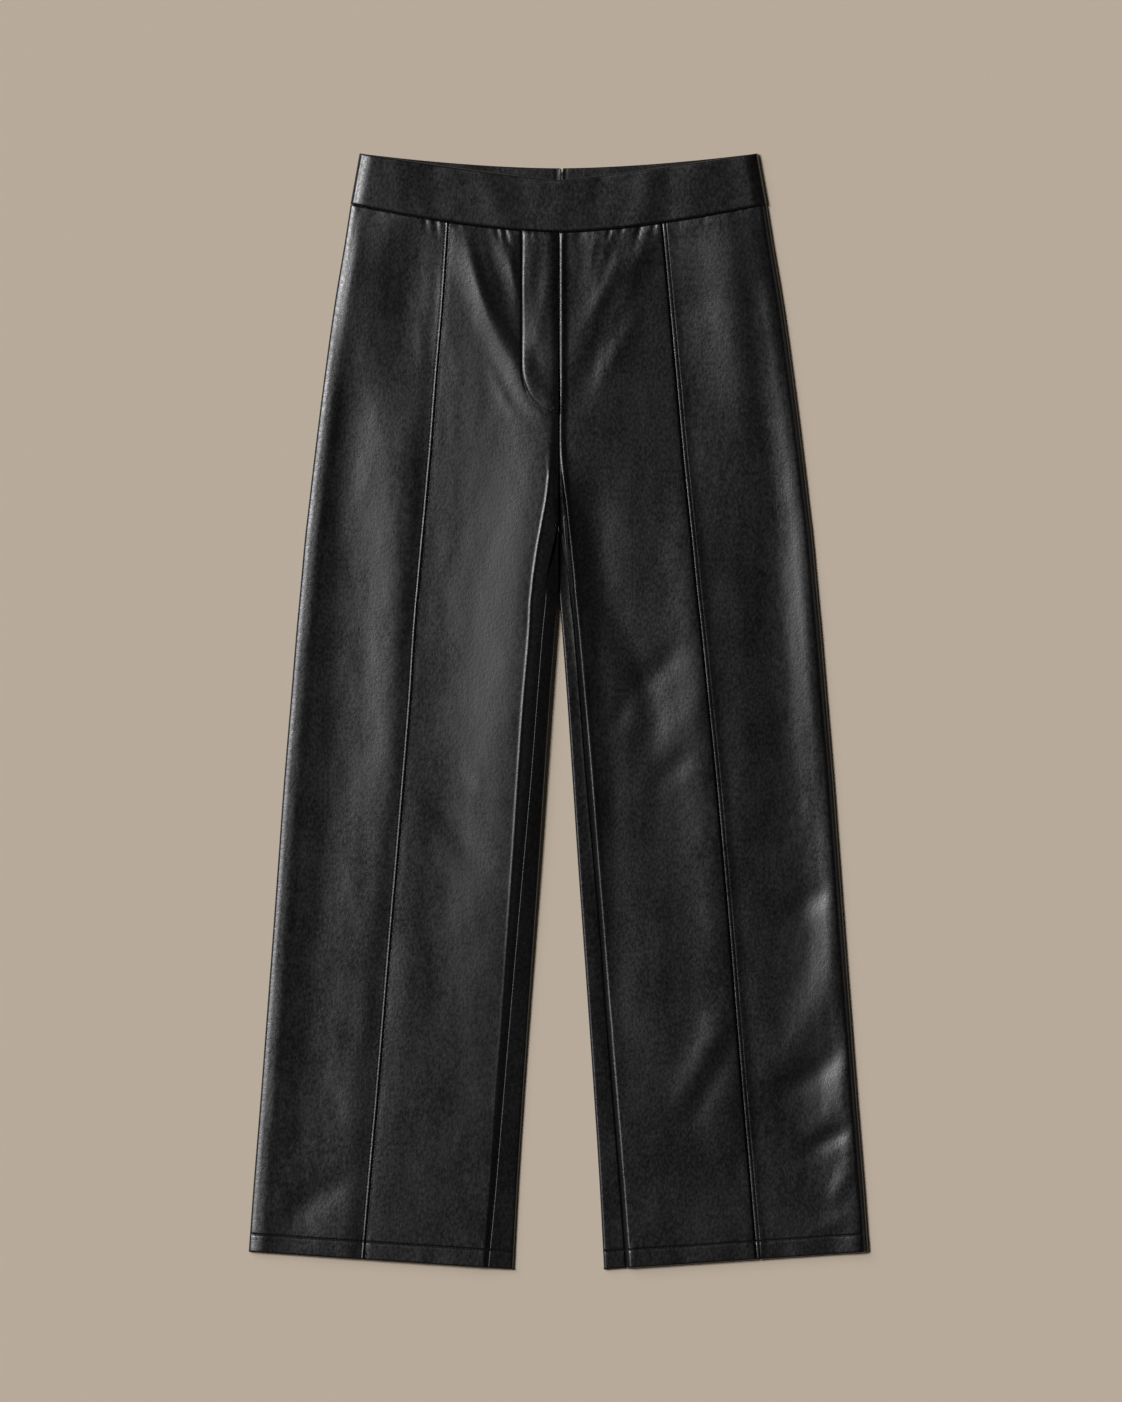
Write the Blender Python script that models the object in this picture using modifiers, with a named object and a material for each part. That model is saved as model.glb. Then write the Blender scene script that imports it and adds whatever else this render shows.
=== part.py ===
"""Leather trousers, laid flat on their back, built piece by piece as they are cut and sewn.

Frame: metres. X runs across the garment, +Y towards the waist, +Z up off the surface.
The origin is the middle of the underside of the garment's box.
Left and right are as seen from above, looking down on the front.
Every piece is a wall of leather. A piece starts as a flat grid whose points are laid on the
garment's surface, is thickened inwards, and is then finished with its rib or turned-up hem.
Distances across the garment are measured from its centre line, and are the same on both sides.
"""

import math

import bpy
import numpy as np
from mathutils import Vector

MM = 0.001

# Cloth
LEATHER = 1.5 * MM
BAND_WALL = 2.4 * MM
FLY_WALL = 1.0 * MM
HALF_GAP = 0.18 * MM
LIFT_ON_PANEL = 0.35 * MM

# How thick the garment lies
SIDE_RADIUS = 2.8 * MM
CROTCH_RADIUS = 2.5 * MM
LOFT = 8.2 * MM
SIDE_SWELL = 14 * MM
BAND_RADIUS = 3.9 * MM
BAND_LOFT = 9.2 * MM

# Lengths down the garment
TOP_Y = 519.2 * MM
WAIST_SEAM_SIDE_Y = 472.0 * MM
WAIST_SEAM_CENTRE_Y = 445.9 * MM
CROTCH_Y = 178.0 * MM
HEM_SIDE_Y = -502.7 * MM
HEM_INNER_Y = -519.2 * MM
HEM_TURN = 17.0 * MM
HEM_EXTRA = 0.9 * MM

# Waistband
BAND_TOP_HALF = 185.1 * MM
BAND_BOTTOM_HALF = 193.6 * MM
BAND_FRONT_DIP = 24.9 * MM
BAND_BACK_DIP = 13.7 * MM
BAND_EDGE_DROP = 0.7 * MM
BACK_SEAM_X = 2.6 * MM
BACK_NOTCH = 1.3 * MM

# Rib that stands along each front leg seam, on the outer panel
RIB_WIDTH = 3.4 * MM
RIB_HEIGHT = 0.8 * MM

# Mock fly
FLY_WIDTH = 33.9 * MM
FLY_STRAIGHT_END_Y = 317.0 * MM
FLY_BOTTOM_Y = 276.9 * MM

# Valley in front of the crotch, and how the leather turns there
VALLEY_TOP_Y = 230.0 * MM
SEAT_LIFT = 5 * MM
INNER_STATIONS = (30.0, 18.0, 9.0, 4.0, 1.5, 0.5, 0.0)

# One row for each level down the garment, in millimetres from the centre line.
SECTION_COLUMNS = (
    "level", "outer", "seam_left", "seam_right", "inner",
    "inseam_left", "inseam_right", "roll_left", "roll_right",
)
SECTIONS = (
    (480.0, 192.2, 100.2, 94.3, 0.2, 0.0, 0.0, 4.0, 3.0),
    (438.5, 198.6, 102.6, 98.1, 0.2, 0.0, 0.0, 4.0, 3.0),
    (382.7, 207.9, 106.4, 103.2, 0.2, 0.0, 0.0, 4.0, 3.0),
    (308.3, 218.3, 112.5, 110.0, 0.2, 0.0, 0.0, 4.0, 3.0),
    (233.9, 227.6, 118.1, 116.7, 0.2, 0.0, 0.0, 6.0, 4.0),
    (196.7, 231.9, 121.4, 120.5, 0.2, 0.0, 0.0, 13.2, 7.8),
    (178.0, 234.1, 123.1, 122.4, 0.2, 0.2, 0.2, 16.4, 9.6),
    (168.0, 235.3, 124.0, 123.5, 0.2, 3.6, 2.4, 18.1, 10.6),
    (155.0, 236.6, 125.2, 124.8, 0.2, 8.4, 5.4, 20.3, 11.8),
    (142.0, 237.8, 126.4, 126.1, 0.2, 11.6, 7.4, 22.6, 13.4),
    (119.5, 239.8, 128.4, 128.3, 0.2, 13.2, 8.9, 25.6, 15.8),
    (112.0, 240.5, 129.1, 129.0, 0.4, 13.4, 9.3, 26.2, 16.2),
    (103.0, 241.3, 130.0, 130.0, 1.1, 13.5, 9.6, 26.6, 16.6),
    (85.1, 243.0, 131.5, 132.0, 2.5, 14.0, 10.2, 26.4, 17.2),
    (10.7, 249.2, 136.4, 139.6, 8.0, 14.7, 12.0, 26.0, 18.0),
    (-63.7, 255.4, 142.4, 147.0, 13.0, 15.5, 12.9, 25.0, 19.0),
    (-138.1, 260.8, 148.7, 153.7, 17.8, 17.3, 14.8, 25.0, 20.0),
    (-212.5, 266.2, 155.1, 160.1, 23.0, 18.4, 15.8, 25.0, 21.0),
    (-286.9, 271.8, 161.2, 166.0, 28.2, 19.1, 16.2, 25.0, 22.0),
    (-361.3, 277.4, 167.3, 172.1, 33.2, 19.8, 17.2, 26.0, 23.0),
    (-435.7, 283.4, 174.0, 178.6, 37.9, 20.6, 18.6, 26.0, 24.0),
    (-519.4, 289.5, 181.0, 185.6, 42.3, 23.6, 20.4, 28.0, 26.0),
)

# One row for each soft fold, in millimetres: the line of the fold through three points,
# how wide it spreads to either side, and how high it stands or, below zero, how deep it lies.
FOLD_COLUMNS = ("x0", "y0", "x1", "y1", "x2", "y2", "spread", "height")
FOLDS = {
    "left": (
        (101, 438, 73, 355, 13, 262, 15, 1.5),
        (78, 438, 54, 373, 36, 318, 12, -1.6),
        (188, 450, 198, 400, 206, 340, 14, 0.8),
        (176, 440, 180, 350, 184, 250, 16, -0.8),
        (150, 300, 152, 150, 156, -40, 22, 1.0),
        (30, 340, 34, 160, 46, -280, 36, 3.0),
        (120, -70, 95, -110, 64, -150, 13, -0.9),
        (222, -388, 234, -420, 250, -455, 14, 0.9),
        (194, -436, 222, -450, 254, -473, 13, -1.2),
    ),
    "right": (
        (90, 443, 55, 400, 20, 327, 13, 1.3),
        (72, 415, 42, 360, 22, 290, 11, -1.0),
        (136, 10, 112, -20, 85, -64, 14, 1.1),
        (122, -36, 108, -52, 94, -68, 11, -1.2),
        (160, 430, 170, 380, 176, 330, 16, 0.9),
        (43, 205, 47, 40, 62, -330, 15, -1.7),
        (98, 190, 113, 0, 124, -150, 17, 1.2),
        (228, 141, 232, 20, 226, -147, 16, 0.9),
        (252, -161, 234, -175, 215, -189, 12, -1.4),
        (257, -171, 245, -270, 197, -343, 14, 1.2),
        (271, -305, 234, -330, 197, -352, 12, -1.5),
        (146, -287, 128, -330, 104, -371, 14, 1.1),
        (160, -296, 140, -345, 113, -389, 12, -1.2),
    ),
}

# The leather sags beside the stiff side seam and at the leg seam, in millimetres.
HOLLOW_COLUMNS = ("middle", "spread", "depth")
SIDE_HOLLOWS = {"left": (42, 24, 1.7), "right": (56, 32, 2.4)}
SEAM_DIPS = {"left": ((16, 1.4), (14, 1.0)), "right": ((12, 1.1), (16, 0.3))}

# The crest beside the inner edge of a leg, strongest at the crotch, and the levels it fades between.
CREST_RISE = {"left": 0.8 * MM, "right": 2.0 * MM}
CREST_SPREAD = 12 * MM
CREST_ENDS = {"left": (0.0, -230 * MM), "right": (-60 * MM, -260 * MM)}

# Rows run across the garment, close together about the crotch and at the hem.
CROTCH_STEPS = (
    50.0, 34.0, 22.0, 12.0, 5.0, 0.0, -5.0, -10.0, -18.0, -27.0, -37.0, -48.0, -58.5, -66.0, -75.0, -93.0,
)
ROW_LEVELS = np.concatenate((
    np.linspace(WAIST_SEAM_CENTRE_Y - 2 * HALF_GAP, CROTCH_Y + 70 * MM, 8),
    CROTCH_Y + np.array(CROTCH_STEPS) * MM,
    np.linspace(CROTCH_Y - 125 * MM, HEM_INNER_Y + 34 * MM, 12),
    (HEM_INNER_Y + HEM_TURN + 1.5 * MM, HEM_INNER_Y + HEM_TURN, HEM_INNER_Y),
))

BLACK_LEATHER = (0.018, 0.018, 0.020, 1.0)


def smooth_line(column):
    """A smooth curve through one column of the section table, as a function of the level."""
    rows = np.array(SECTIONS)[::-1] * MM
    levels = rows[:, 0]
    values = rows[:, SECTION_COLUMNS.index(column)]
    slopes = np.gradient(values, levels)

    def at(level):
        level = min(max(level, levels[0]), levels[-1])
        below = min(max(int(np.searchsorted(levels, level)) - 1, 0), len(levels) - 2)
        span = levels[below + 1] - levels[below]
        t = (level - levels[below]) / span
        start = values[below] * (1 + 2 * t) * (1 - t) ** 2
        end = values[below + 1] * t * t * (3 - 2 * t)
        bend = span * (slopes[below] * t * (1 - t) ** 2 - slopes[below + 1] * t * t * (1 - t))
        return max(start + end + bend, HALF_GAP)

    return at


LINES = {name: smooth_line(name) for name in SECTION_COLUMNS[1:]}


def ease(share):
    """0 to 1, slow at both ends."""
    share = min(max(share, 0.0), 1.0)
    return share * share * (3 - 2 * share)


def mix(a, b, share):
    return a + (b - a) * share


def bell(distance, spread):
    """1 at its middle, falling smoothly to either side."""
    return math.exp(-((distance / spread) ** 2))


def row_level(row, x):
    """Where a row lies at a distance x from the centre: rows climb towards the side seam."""
    down = (ROW_LEVELS[0] - row) / (ROW_LEVELS[0] - HEM_INNER_Y)
    side = mix(WAIST_SEAM_SIDE_Y - 2 * HALF_GAP, HEM_SIDE_Y, down)
    inner = LINES["inner"](row)
    outer = LINES["outer"](side)
    across = min(max((x - inner) / (outer - inner), 0.0), 1.0)
    bow = mix(1.6, 1.0, min(down / 0.3, 1.0))
    return mix(row, side, across ** bow)


def where(row, line):
    """The distance from the centre at which a row meets a line. A few passes settle the tilt."""
    level = row
    for _ in range(5):
        level = row_level(row, line(level))
    return line(level)


# ---------------------------------------------------------------- the form of the laid cloth


def inner_radius(level):
    """The inner edge of a leg turns more sharply at the crotch, where four panels meet."""
    return mix(CROTCH_RADIUS, SIDE_RADIUS, ease((CROTCH_Y - level) / (120 * MM)))


def round_edge(distance, radius):
    """Rise of a turned edge above its middle, at a distance in from the edge."""
    if distance >= radius:
        return radius
    return math.sqrt(max(radius ** 2 - (radius - distance) ** 2, 0.0))


def edge_distance(run, radius):
    """The distance in from an edge after running a length along the turned cloth."""
    quarter = radius * math.pi / 2
    if run < quarter:
        return radius * (1 - math.cos(run / radius))
    return radius + run - quarter


def shoulder(distance, width, radius):
    """Height of the upper cloth near an edge: it turns round the edge, then swells to the loft."""
    turn = math.radians(80)
    turned_at = radius * (1 - math.cos(turn))
    turned_height = radius * (1 + math.sin(turn))
    if distance < turned_at:
        return radius + round_edge(distance, radius)
    left = 1 - min((distance - turned_at) / (width - turned_at), 1.0)
    return LOFT - (LOFT - turned_height) * left ** 2


def fold_height(side, x, y):
    """Sum of the folds of one leg at a point."""
    height = 0.0
    for fold in FOLDS[side]:
        f = dict(zip(FOLD_COLUMNS, fold))
        start = np.array((f["x0"], f["y0"])) * MM
        middle = np.array((f["x1"], f["y1"])) * MM
        end = np.array((f["x2"], f["y2"])) * MM
        bend = 2 * middle - (start + end) / 2
        along = np.linspace(0, 1, 13)[:, None]
        line = start * (1 - along) ** 2 + 2 * bend * along * (1 - along) + end * along ** 2
        gaps = np.hypot(*(line - (x, y)).T)
        nearest = int(gaps.argmin())
        taper = math.sin(math.pi * (0.08 + 0.84 * along[nearest, 0])) ** 0.8
        height += f["height"] * MM * taper * bell(gaps[nearest], f["spread"] * MM)
    return height


def waist_level(x):
    share = min(abs(x) / BAND_BOTTOM_HALF, 1.0)
    return mix(WAIST_SEAM_CENTRE_Y, WAIST_SEAM_SIDE_Y, share ** 1.6)


def hollows(side, x, y):
    """How far the leather sags beside the side seam and at the leg seam."""
    hollow = dict(zip(HOLLOW_COLUMNS, SIDE_HOLLOWS[side]))
    from_side = (LINES["outer"](y) - x) / MM
    beside_edge = hollow["depth"] * bell(from_side - hollow["middle"], hollow["spread"])
    beyond = (x - LINES["seam_" + side](y)) / MM
    (inner_spread, inner_depth), (outer_spread, outer_depth) = SEAM_DIPS[side]
    dip = inner_depth * bell(beyond, inner_spread)
    if beyond > 0:
        dip = mix(inner_depth, outer_depth, ease(beyond / 12)) * bell(beyond, outer_spread)
    below_waist = ease((waist_level(x) - y) / (45 * MM))
    above_hem = mix(0.45, 1.0, ease((y - HEM_INNER_Y) / (160 * MM)))
    return (beside_edge * above_hem + dip) * MM * below_waist


def crest(side, distance, y):
    """The ridge beside the inner edge of a leg."""
    fades_at, gone_at = CREST_ENDS[side]
    strength = ease((VALLEY_TOP_Y + 16 * MM - y) / (50 * MM)) * ease((y - gone_at) / (fades_at - gone_at))
    return CREST_RISE[side] * strength * bell(distance - LINES["roll_" + side](y), CREST_SPREAD)


def top_height(side, x, y):
    """Height of the upper face of the cloth, x from the centre line and y up the garment."""
    from_side = LINES["outer"](y) - x
    from_inner = x - LINES["inner"](y)
    by_side = shoulder(from_side, SIDE_SWELL, SIDE_RADIUS)
    by_inner = shoulder(from_inner, LINES["roll_" + side](y), inner_radius(y))
    valley = ease((VALLEY_TOP_Y - y) / (VALLEY_TOP_Y - CROTCH_Y))
    by_inner = mix(LOFT, by_inner, valley)
    sag = hollows(side, x, y) * ease((from_side - 6 * MM) / (14 * MM))
    clear = ease(from_side / (16 * MM)) * mix(1.0, ease(from_inner / (16 * MM)), valley)
    return min(by_side, by_inner) - sag + crest(side, from_inner, y) + fold_height(side, x, y) * clear


# ---------------------------------------------------------------- pieces as grids of points


def on_top(side, row, stations):
    """Points of one row on the upper face, at stations measured from the centre line."""
    points = []
    for x in stations:
        level = row_level(row, x)
        points.append((x, level, top_height(side, x, level)))
    return points


def between(start, end, shares):
    return [mix(start, end, share) for share in shares]


def inseam_run(side, row):
    """How far round the inner edge of the leg the inseam lies, along the cloth from the edge."""
    if row >= CROTCH_Y:
        return 0.0
    distance = LINES["inseam_" + side](row)
    radius = inner_radius(row)
    return distance - radius + radius * math.pi / 2


def front_outer_rows(side):
    """Side seam to front leg seam. The first points turn round the edge of the leg."""
    rows = []
    turns = (HALF_GAP / SIDE_RADIUS, math.radians(35), math.radians(75))
    for row in ROW_LEVELS:
        edge = where(row, LINES["outer"])
        seam = where(row, LINES["seam_" + side]) + HALF_GAP
        stations = [edge - SIDE_RADIUS * (1 - math.cos(turn)) for turn in turns]
        stations += between(edge - 6 * MM, seam + 2 * RIB_WIDTH, (0.0, 0.14, 0.3, 0.5, 0.74, 1.0))
        stations += [seam + RIB_WIDTH, seam + RIB_WIDTH / 2, seam]
        rows.append(on_top(side, row, stations))
    return np.array(rows)


def front_inner_rows(side):
    """Front leg seam to centre front seam, and below the crotch to the inseam."""
    rows = []
    for row in ROW_LEVELS:
        seam = where(row, LINES["seam_" + side]) - HALF_GAP
        inner = where(row, LINES["inner"])
        end = inner + edge_distance(inseam_run(side, row) + HALF_GAP, inner_radius(row))
        near = [end + step * MM for step in INNER_STATIONS]
        field = between(seam - RIB_WIDTH, near[0], (0.0, 0.2, 0.43, 0.7))
        rows.append(on_top(side, row, [seam] + field + near))
    return np.array(rows)


def back_runs(end, quarter, above):
    """Stations along the cloth about the inner edge of the leg: below zero under it, above zero over."""
    seat = [end - 2.4 * MM * step for step in (7, 6, 5, 4, 3, 2, 1, 0)]
    corner = [-quarter - step * MM for step in (5.0, 2.5, 0.0)]
    corner += [-quarter * share for share in (0.75, 0.5, 0.3, 0.14)] + [-HALF_GAP]
    runs = [mix(a, b, ease((60 * MM - above) / (40 * MM))) for a, b in zip(seat, corner)]
    wrapped = [-quarter * share for share in (1.0, 0.62, 0.3, 0.0, -0.4, -0.85)]
    wrapped += [mix(wrapped[-1], end, 0.5), end]
    return [mix(a, b, min(max(end, 0.0) / (12 * MM), 1.0)) for a, b in zip(runs, wrapped)]


def back_rows(side):
    """Side seam, under the leg, round its inner edge and up to the inseam."""
    rows = []
    turns = (HALF_GAP / SIDE_RADIUS, math.radians(40), math.radians(90))
    for row in ROW_LEVELS:
        edge = where(row, LINES["outer"])
        inner = where(row, LINES["inner"])
        radius = inner_radius(row)
        above = row - CROTCH_Y
        runs = back_runs(inseam_run(side, row) - HALF_GAP, radius * math.pi / 2, above)
        lifted = ease(1 - above / SEAT_LIFT)
        points = []
        for turn in turns:
            x = edge - SIDE_RADIUS * (1 - math.cos(turn))
            points.append((x, row_level(row, x), SIDE_RADIUS * (1 - math.sin(turn))))
        first = inner + edge_distance(-runs[0], radius)
        for x in between(edge - SIDE_RADIUS, first, (0.22, 0.5, 0.78)):
            points.append((x, row_level(row, x), 0.0))
        for run in runs:
            distance = edge_distance(abs(run), radius)
            x = inner + distance
            level = row_level(row, x)
            z = top_height(side, x, level)
            if run < 0:
                z = (radius - round_edge(distance, radius)) * lifted
            points.append((x, level, z))
        rows.append(points)
    return np.array(rows)


def band_half_width(height):
    """Half the width of the waistband at a share of its height, from the seam to the top."""
    return mix(BAND_BOTTOM_HALF, BAND_TOP_HALF, height)


def band_level(x, height, dip, power):
    """A point on the waistband: its lower edge follows the waist seam, its top edge dips."""
    across = min(abs(x) / band_half_width(height), 1.0)
    seam = mix(WAIST_SEAM_CENTRE_Y, WAIST_SEAM_SIDE_Y, across ** 1.6)
    top = TOP_Y - dip * (1 - across ** power)
    return mix(seam, top, height)


def band_front_rows():
    """The front waistband, from one side to the other, lower edge first."""
    turns = [HALF_GAP / BAND_RADIUS, math.radians(32), math.radians(62), math.radians(90)]
    rows = []
    for height in (0.0, 0.06, 0.5, 0.94, 1.0):
        half = band_half_width(height)
        edge = BAND_EDGE_DROP if height in (0.0, 1.0) else 0.0
        right = [(half - BAND_RADIUS * (1 - math.cos(t)), BAND_RADIUS * (1 + math.sin(t))) for t in turns]
        flat_half = half - 14 * MM
        middle = [(flat_half * math.cos(math.pi * k / 14), BAND_LOFT) for k in range(15)]
        left = [(-x, z) for x, z in reversed(right)]
        row = []
        for x, z in right + middle + left:
            wave = 0.35 * MM * math.sin(x / (19 * MM)) * ease((half - abs(x)) / (40 * MM))
            drop = edge * ease((half - abs(x)) / (8 * MM))
            level = band_level(x, height, BAND_FRONT_DIP, 1.15)
            row.append((x, level, z + wave - drop))
        rows.append(row)
    return np.array(rows)


def band_back_rows(direction):
    """Half of the back waistband, from the side seam to the centre back seam."""
    turns = [HALF_GAP / BAND_RADIUS, math.radians(32), math.radians(62), math.radians(90)]
    rows = []
    for height in (0.0, 0.35, 0.7, 0.9, 1.0):
        half = band_half_width(height)
        notch = BACK_NOTCH * ease((height - 0.7) / 0.3)
        end = BACK_SEAM_X * direction + HALF_GAP + notch
        row = [(half - BAND_RADIUS * (1 - math.cos(t)), BAND_RADIUS * (1 - math.sin(t))) for t in turns]
        row += [(mix(half - BAND_RADIUS, end, share), 0.0) for share in (0.2, 0.4, 0.6, 0.8, 0.95, 1.0)]
        rows.append([(x, band_level(x, height, BAND_BACK_DIP, 1.7), z) for x, z in row])
    return np.array(rows)


def fly_outline():
    """Level and width of the fly down its length: straight, then round in a quarter ellipse."""
    straight = [(level, FLY_WIDTH) for level in np.linspace(ROW_LEVELS[0], FLY_STRAIGHT_END_Y, 12)]
    bend = FLY_STRAIGHT_END_Y - FLY_BOTTOM_Y
    turns = np.radians((18, 34, 48, 60, 70, 79))
    curved = [(FLY_STRAIGHT_END_Y - bend * math.sin(a), FLY_WIDTH * math.cos(a)) for a in turns]
    return straight + curved


def fly_rows(panel):
    """The mock fly, laid on the points of the inner left panel that it covers."""
    rows = []
    end = HALF_GAP + 0.1 * MM
    for row, width in fly_outline():
        below = min(int(np.searchsorted(-ROW_LEVELS, -row, side="right")), len(ROW_LEVELS) - 1)
        share = (ROW_LEVELS[below - 1] - row) / (ROW_LEVELS[below - 1] - ROW_LEVELS[below])
        points = []
        for x in between(width, end, (0.0, 0.25, 0.5, 0.75, 1.0)):
            above_z = np.interp(x, panel[below - 1, ::-1, 0], panel[below - 1, ::-1, 2])
            below_z = np.interp(x, panel[below, ::-1, 0], panel[below, ::-1, 2])
            z = mix(above_z, below_z, share) + LIFT_ON_PANEL + FLY_WALL
            points.append((x, row_level(row, x), z))
        rows.append(points)
    return np.array(rows)


# ---------------------------------------------------------------- making the solids


def clear_scene():
    for obj in list(bpy.data.objects):
        bpy.data.objects.remove(obj, do_unlink=True)


def leather(name, roughness):
    """Black leather for one piece."""
    material = bpy.data.materials.new(name + "_leather")
    material.use_nodes = True
    shader = material.node_tree.nodes["Principled BSDF"]
    shader.inputs["Base Color"].default_value = BLACK_LEATHER
    shader.inputs["Roughness"].default_value = roughness
    shader.inputs["Metallic"].default_value = 0.0
    return material


def sew(name, rows, direction, wall, collection, roughness=0.5, faces_up=True):
    """A wall of leather from a grid of points on its outer face. direction -1 is the left side."""
    count, across = rows.shape[:2]
    bpy.ops.mesh.primitive_grid_add(x_subdivisions=across - 1, y_subdivisions=count - 1)
    obj = bpy.context.object
    obj.name = name
    obj.data.name = name
    points = rows * (direction, 1, 1)
    obj.data.vertices.foreach_set("co", points.reshape(-1))
    obj.data.update()
    middle = len(obj.data.polygons) // 2
    if (obj.data.polygons[middle].normal.z > 0) != faces_up:
        obj.data.flip_normals()
    solidify = obj.modifiers.new("wall", "SOLIDIFY")
    solidify.thickness = wall
    solidify.offset = -1
    bpy.ops.object.modifier_apply(modifier=solidify.name)
    obj.data.shade_smooth()
    obj.data.set_sharp_from_angle(angle=math.radians(50))
    obj.data.materials.append(leather(name, roughness))
    for other in list(obj.users_collection):
        other.objects.unlink(obj)
    collection.objects.link(obj)
    return obj


def raise_rib(obj, rows):
    """Stand a rib along the front leg seam, on the outside only: the drawn points come first."""
    across = rows.shape[1]
    for index in range(1, rows.shape[0] + 1):
        obj.data.vertices[index * across - 1].co.z -= RIB_HEIGHT * 0.5
        obj.data.vertices[index * across - 2].co.z += RIB_HEIGHT * 0.6
        obj.data.vertices[index * across - 3].co.z -= RIB_HEIGHT * 0.4


def level_edge(obj, rows, column, wall, picked=None):
    """Square the wall at an edge that faces straight up or down, so that it meets its neighbour."""
    count, across = rows.shape[:2]
    for row in range(count) if picked is None else picked:
        outer = obj.data.vertices[row * across + column % across]
        inner = obj.data.vertices[(count + row) * across + column % across]
        inward = (inner.co - outer.co) * Vector((1, 1, 0))
        inner.co = outer.co + inward.normalized() * wall


def turn_up_hem(obj, rows):
    """Thicken the last rows inwards, where the leather is turned up. Inner points come second."""
    count, across = rows.shape[:2]
    for index in range(count * across, 2 * count * across):
        if (index - count * across) // across >= count - 2:
            vertex = obj.data.vertices[index]
            outer = obj.data.vertices[index - count * across]
            inward = (vertex.co - outer.co).normalized()
            vertex.co += inward * HEM_EXTRA


def build():
    clear_scene()
    trousers = bpy.data.collections.new("leather_trousers")
    bpy.context.scene.collection.children.link(trousers)
    crotch = int(np.abs(ROW_LEVELS - CROTCH_Y).argmin())
    for side, direction in (("left", -1), ("right", 1)):
        rows = front_outer_rows(side)
        outer = sew("front_outer_" + side, rows, direction, LEATHER, trousers)
        level_edge(outer, rows, 0, LEATHER)
        raise_rib(outer, rows)
        turn_up_hem(outer, rows)
        rows = front_inner_rows(side)
        inner = sew("front_inner_" + side, rows, direction, LEATHER, trousers)
        level_edge(inner, rows, -1, LEATHER, (crotch - 1, crotch))
        turn_up_hem(inner, rows)
        if side == "left":
            sew("fly", fly_rows(rows), direction, FLY_WALL, trousers)
        rows = back_rows(side)
        back = sew("back_" + side, rows, direction, LEATHER, trousers, faces_up=False)
        level_edge(back, rows, 0, LEATHER)
        level_edge(back, rows, -1, LEATHER, (crotch,))
        turn_up_hem(back, rows)
        name = "waistband_back_" + side
        rows = band_back_rows(direction)
        band = sew(name, rows, direction, BAND_WALL, trousers, 0.45, faces_up=False)
        level_edge(band, rows, 0, BAND_WALL)
    rows = band_front_rows()
    band = sew("waistband_front", rows, 1, BAND_WALL, trousers, 0.45)
    level_edge(band, rows, 0, BAND_WALL)
    level_edge(band, rows, -1, BAND_WALL)


build()
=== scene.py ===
# %% [markdown]
# # Black leather trousers, laid flat
# A pair of high-waisted, wide-legged trousers in soft black leather lies on its back on a pale
# floor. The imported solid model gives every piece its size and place. This lesson makes the
# pieces again as thin, softly creased sheets of leather, with their seams, stitches and grain.
# Each sheet is a flat grid laid on the form of the garment by a few functions, because leather
# that was cut flat and sewn keeps long, smooth lines that hand-pushed points would lose.

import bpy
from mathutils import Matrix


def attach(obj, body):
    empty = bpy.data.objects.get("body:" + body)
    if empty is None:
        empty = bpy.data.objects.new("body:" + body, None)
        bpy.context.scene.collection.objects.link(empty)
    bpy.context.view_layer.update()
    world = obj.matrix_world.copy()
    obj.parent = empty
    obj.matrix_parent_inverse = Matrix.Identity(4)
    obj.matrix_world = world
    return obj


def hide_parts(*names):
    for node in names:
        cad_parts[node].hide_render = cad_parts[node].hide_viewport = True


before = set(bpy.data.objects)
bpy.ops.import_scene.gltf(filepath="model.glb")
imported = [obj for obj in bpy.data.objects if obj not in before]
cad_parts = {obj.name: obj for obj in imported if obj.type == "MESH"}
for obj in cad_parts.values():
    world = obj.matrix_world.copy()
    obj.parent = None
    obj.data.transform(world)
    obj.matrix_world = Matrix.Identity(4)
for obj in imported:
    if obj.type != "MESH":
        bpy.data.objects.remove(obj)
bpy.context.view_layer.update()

# %% [markdown]
# ## Tools and units
# Leather is marked out in millimetres, while the scene counts in metres, so one constant turns
# the first into the second. NumPy works on a whole grid of points at once, which keeps the
# formulas for cloth short and quick.

# %% Tools and units
import math

import bpy
import numpy as np
from mathutils import Vector

MM = 0.001
DIRECTION = {"left": -1, "right": 1}
print("units: 1 m is", round(1 / MM), "mm")

# %% [markdown]
# ## The measures of the garment
# A pattern cutter works from a few measures: how long and wide the band is, where the crotch
# lies, how deep the hem is turned. The same measures made the solids, so the sheets fit them.
# Distances across are counted from the centre line, and left and right are as seen from above.

# %% Measures
HALF_GAP = 0.18 * MM
SHELL = 1.1 * MM
BAND_SHELL = 2.2 * MM
FLY_SHELL = 1.0 * MM
LIFT_ON_PANEL = 0.35 * MM

SIDE_RADIUS = 2.8 * MM
INNER_RADIUS = 2.4 * MM
CROTCH_RADIUS = {"left": 2.4 * MM, "right": 1.4 * MM}
LOFT = 8.2 * MM
SIDE_SWELL = {"left": 13 * MM, "right": 6.5 * MM}
EDGE_DROP = {"left": 1.5 * MM, "right": 0.0}
EDGE_DROP_REACH = 45 * MM
BAND_RADIUS = 3.9 * MM
BAND_LOFT = 9.2 * MM

TOP_Y = 519.2 * MM
WAIST_SEAM_SIDE_Y = 472.0 * MM
WAIST_SEAM_CENTRE_Y = 445.9 * MM
CROTCH_Y = 178.0 * MM
HEM_SIDE_Y = -502.7 * MM
HEM_INNER_Y = -519.2 * MM
HEM_TURN = 17.0 * MM
HEM_EXTRA = 0.9 * MM

BAND_TOP_HALF = 185.1 * MM
BAND_BOTTOM_HALF = 193.6 * MM
BAND_FRONT_DIP = 24.9 * MM
BAND_BACK_DIP = 13.7 * MM
BACK_SEAM_X = 2.6 * MM
BACK_NOTCH = 1.3 * MM

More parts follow.
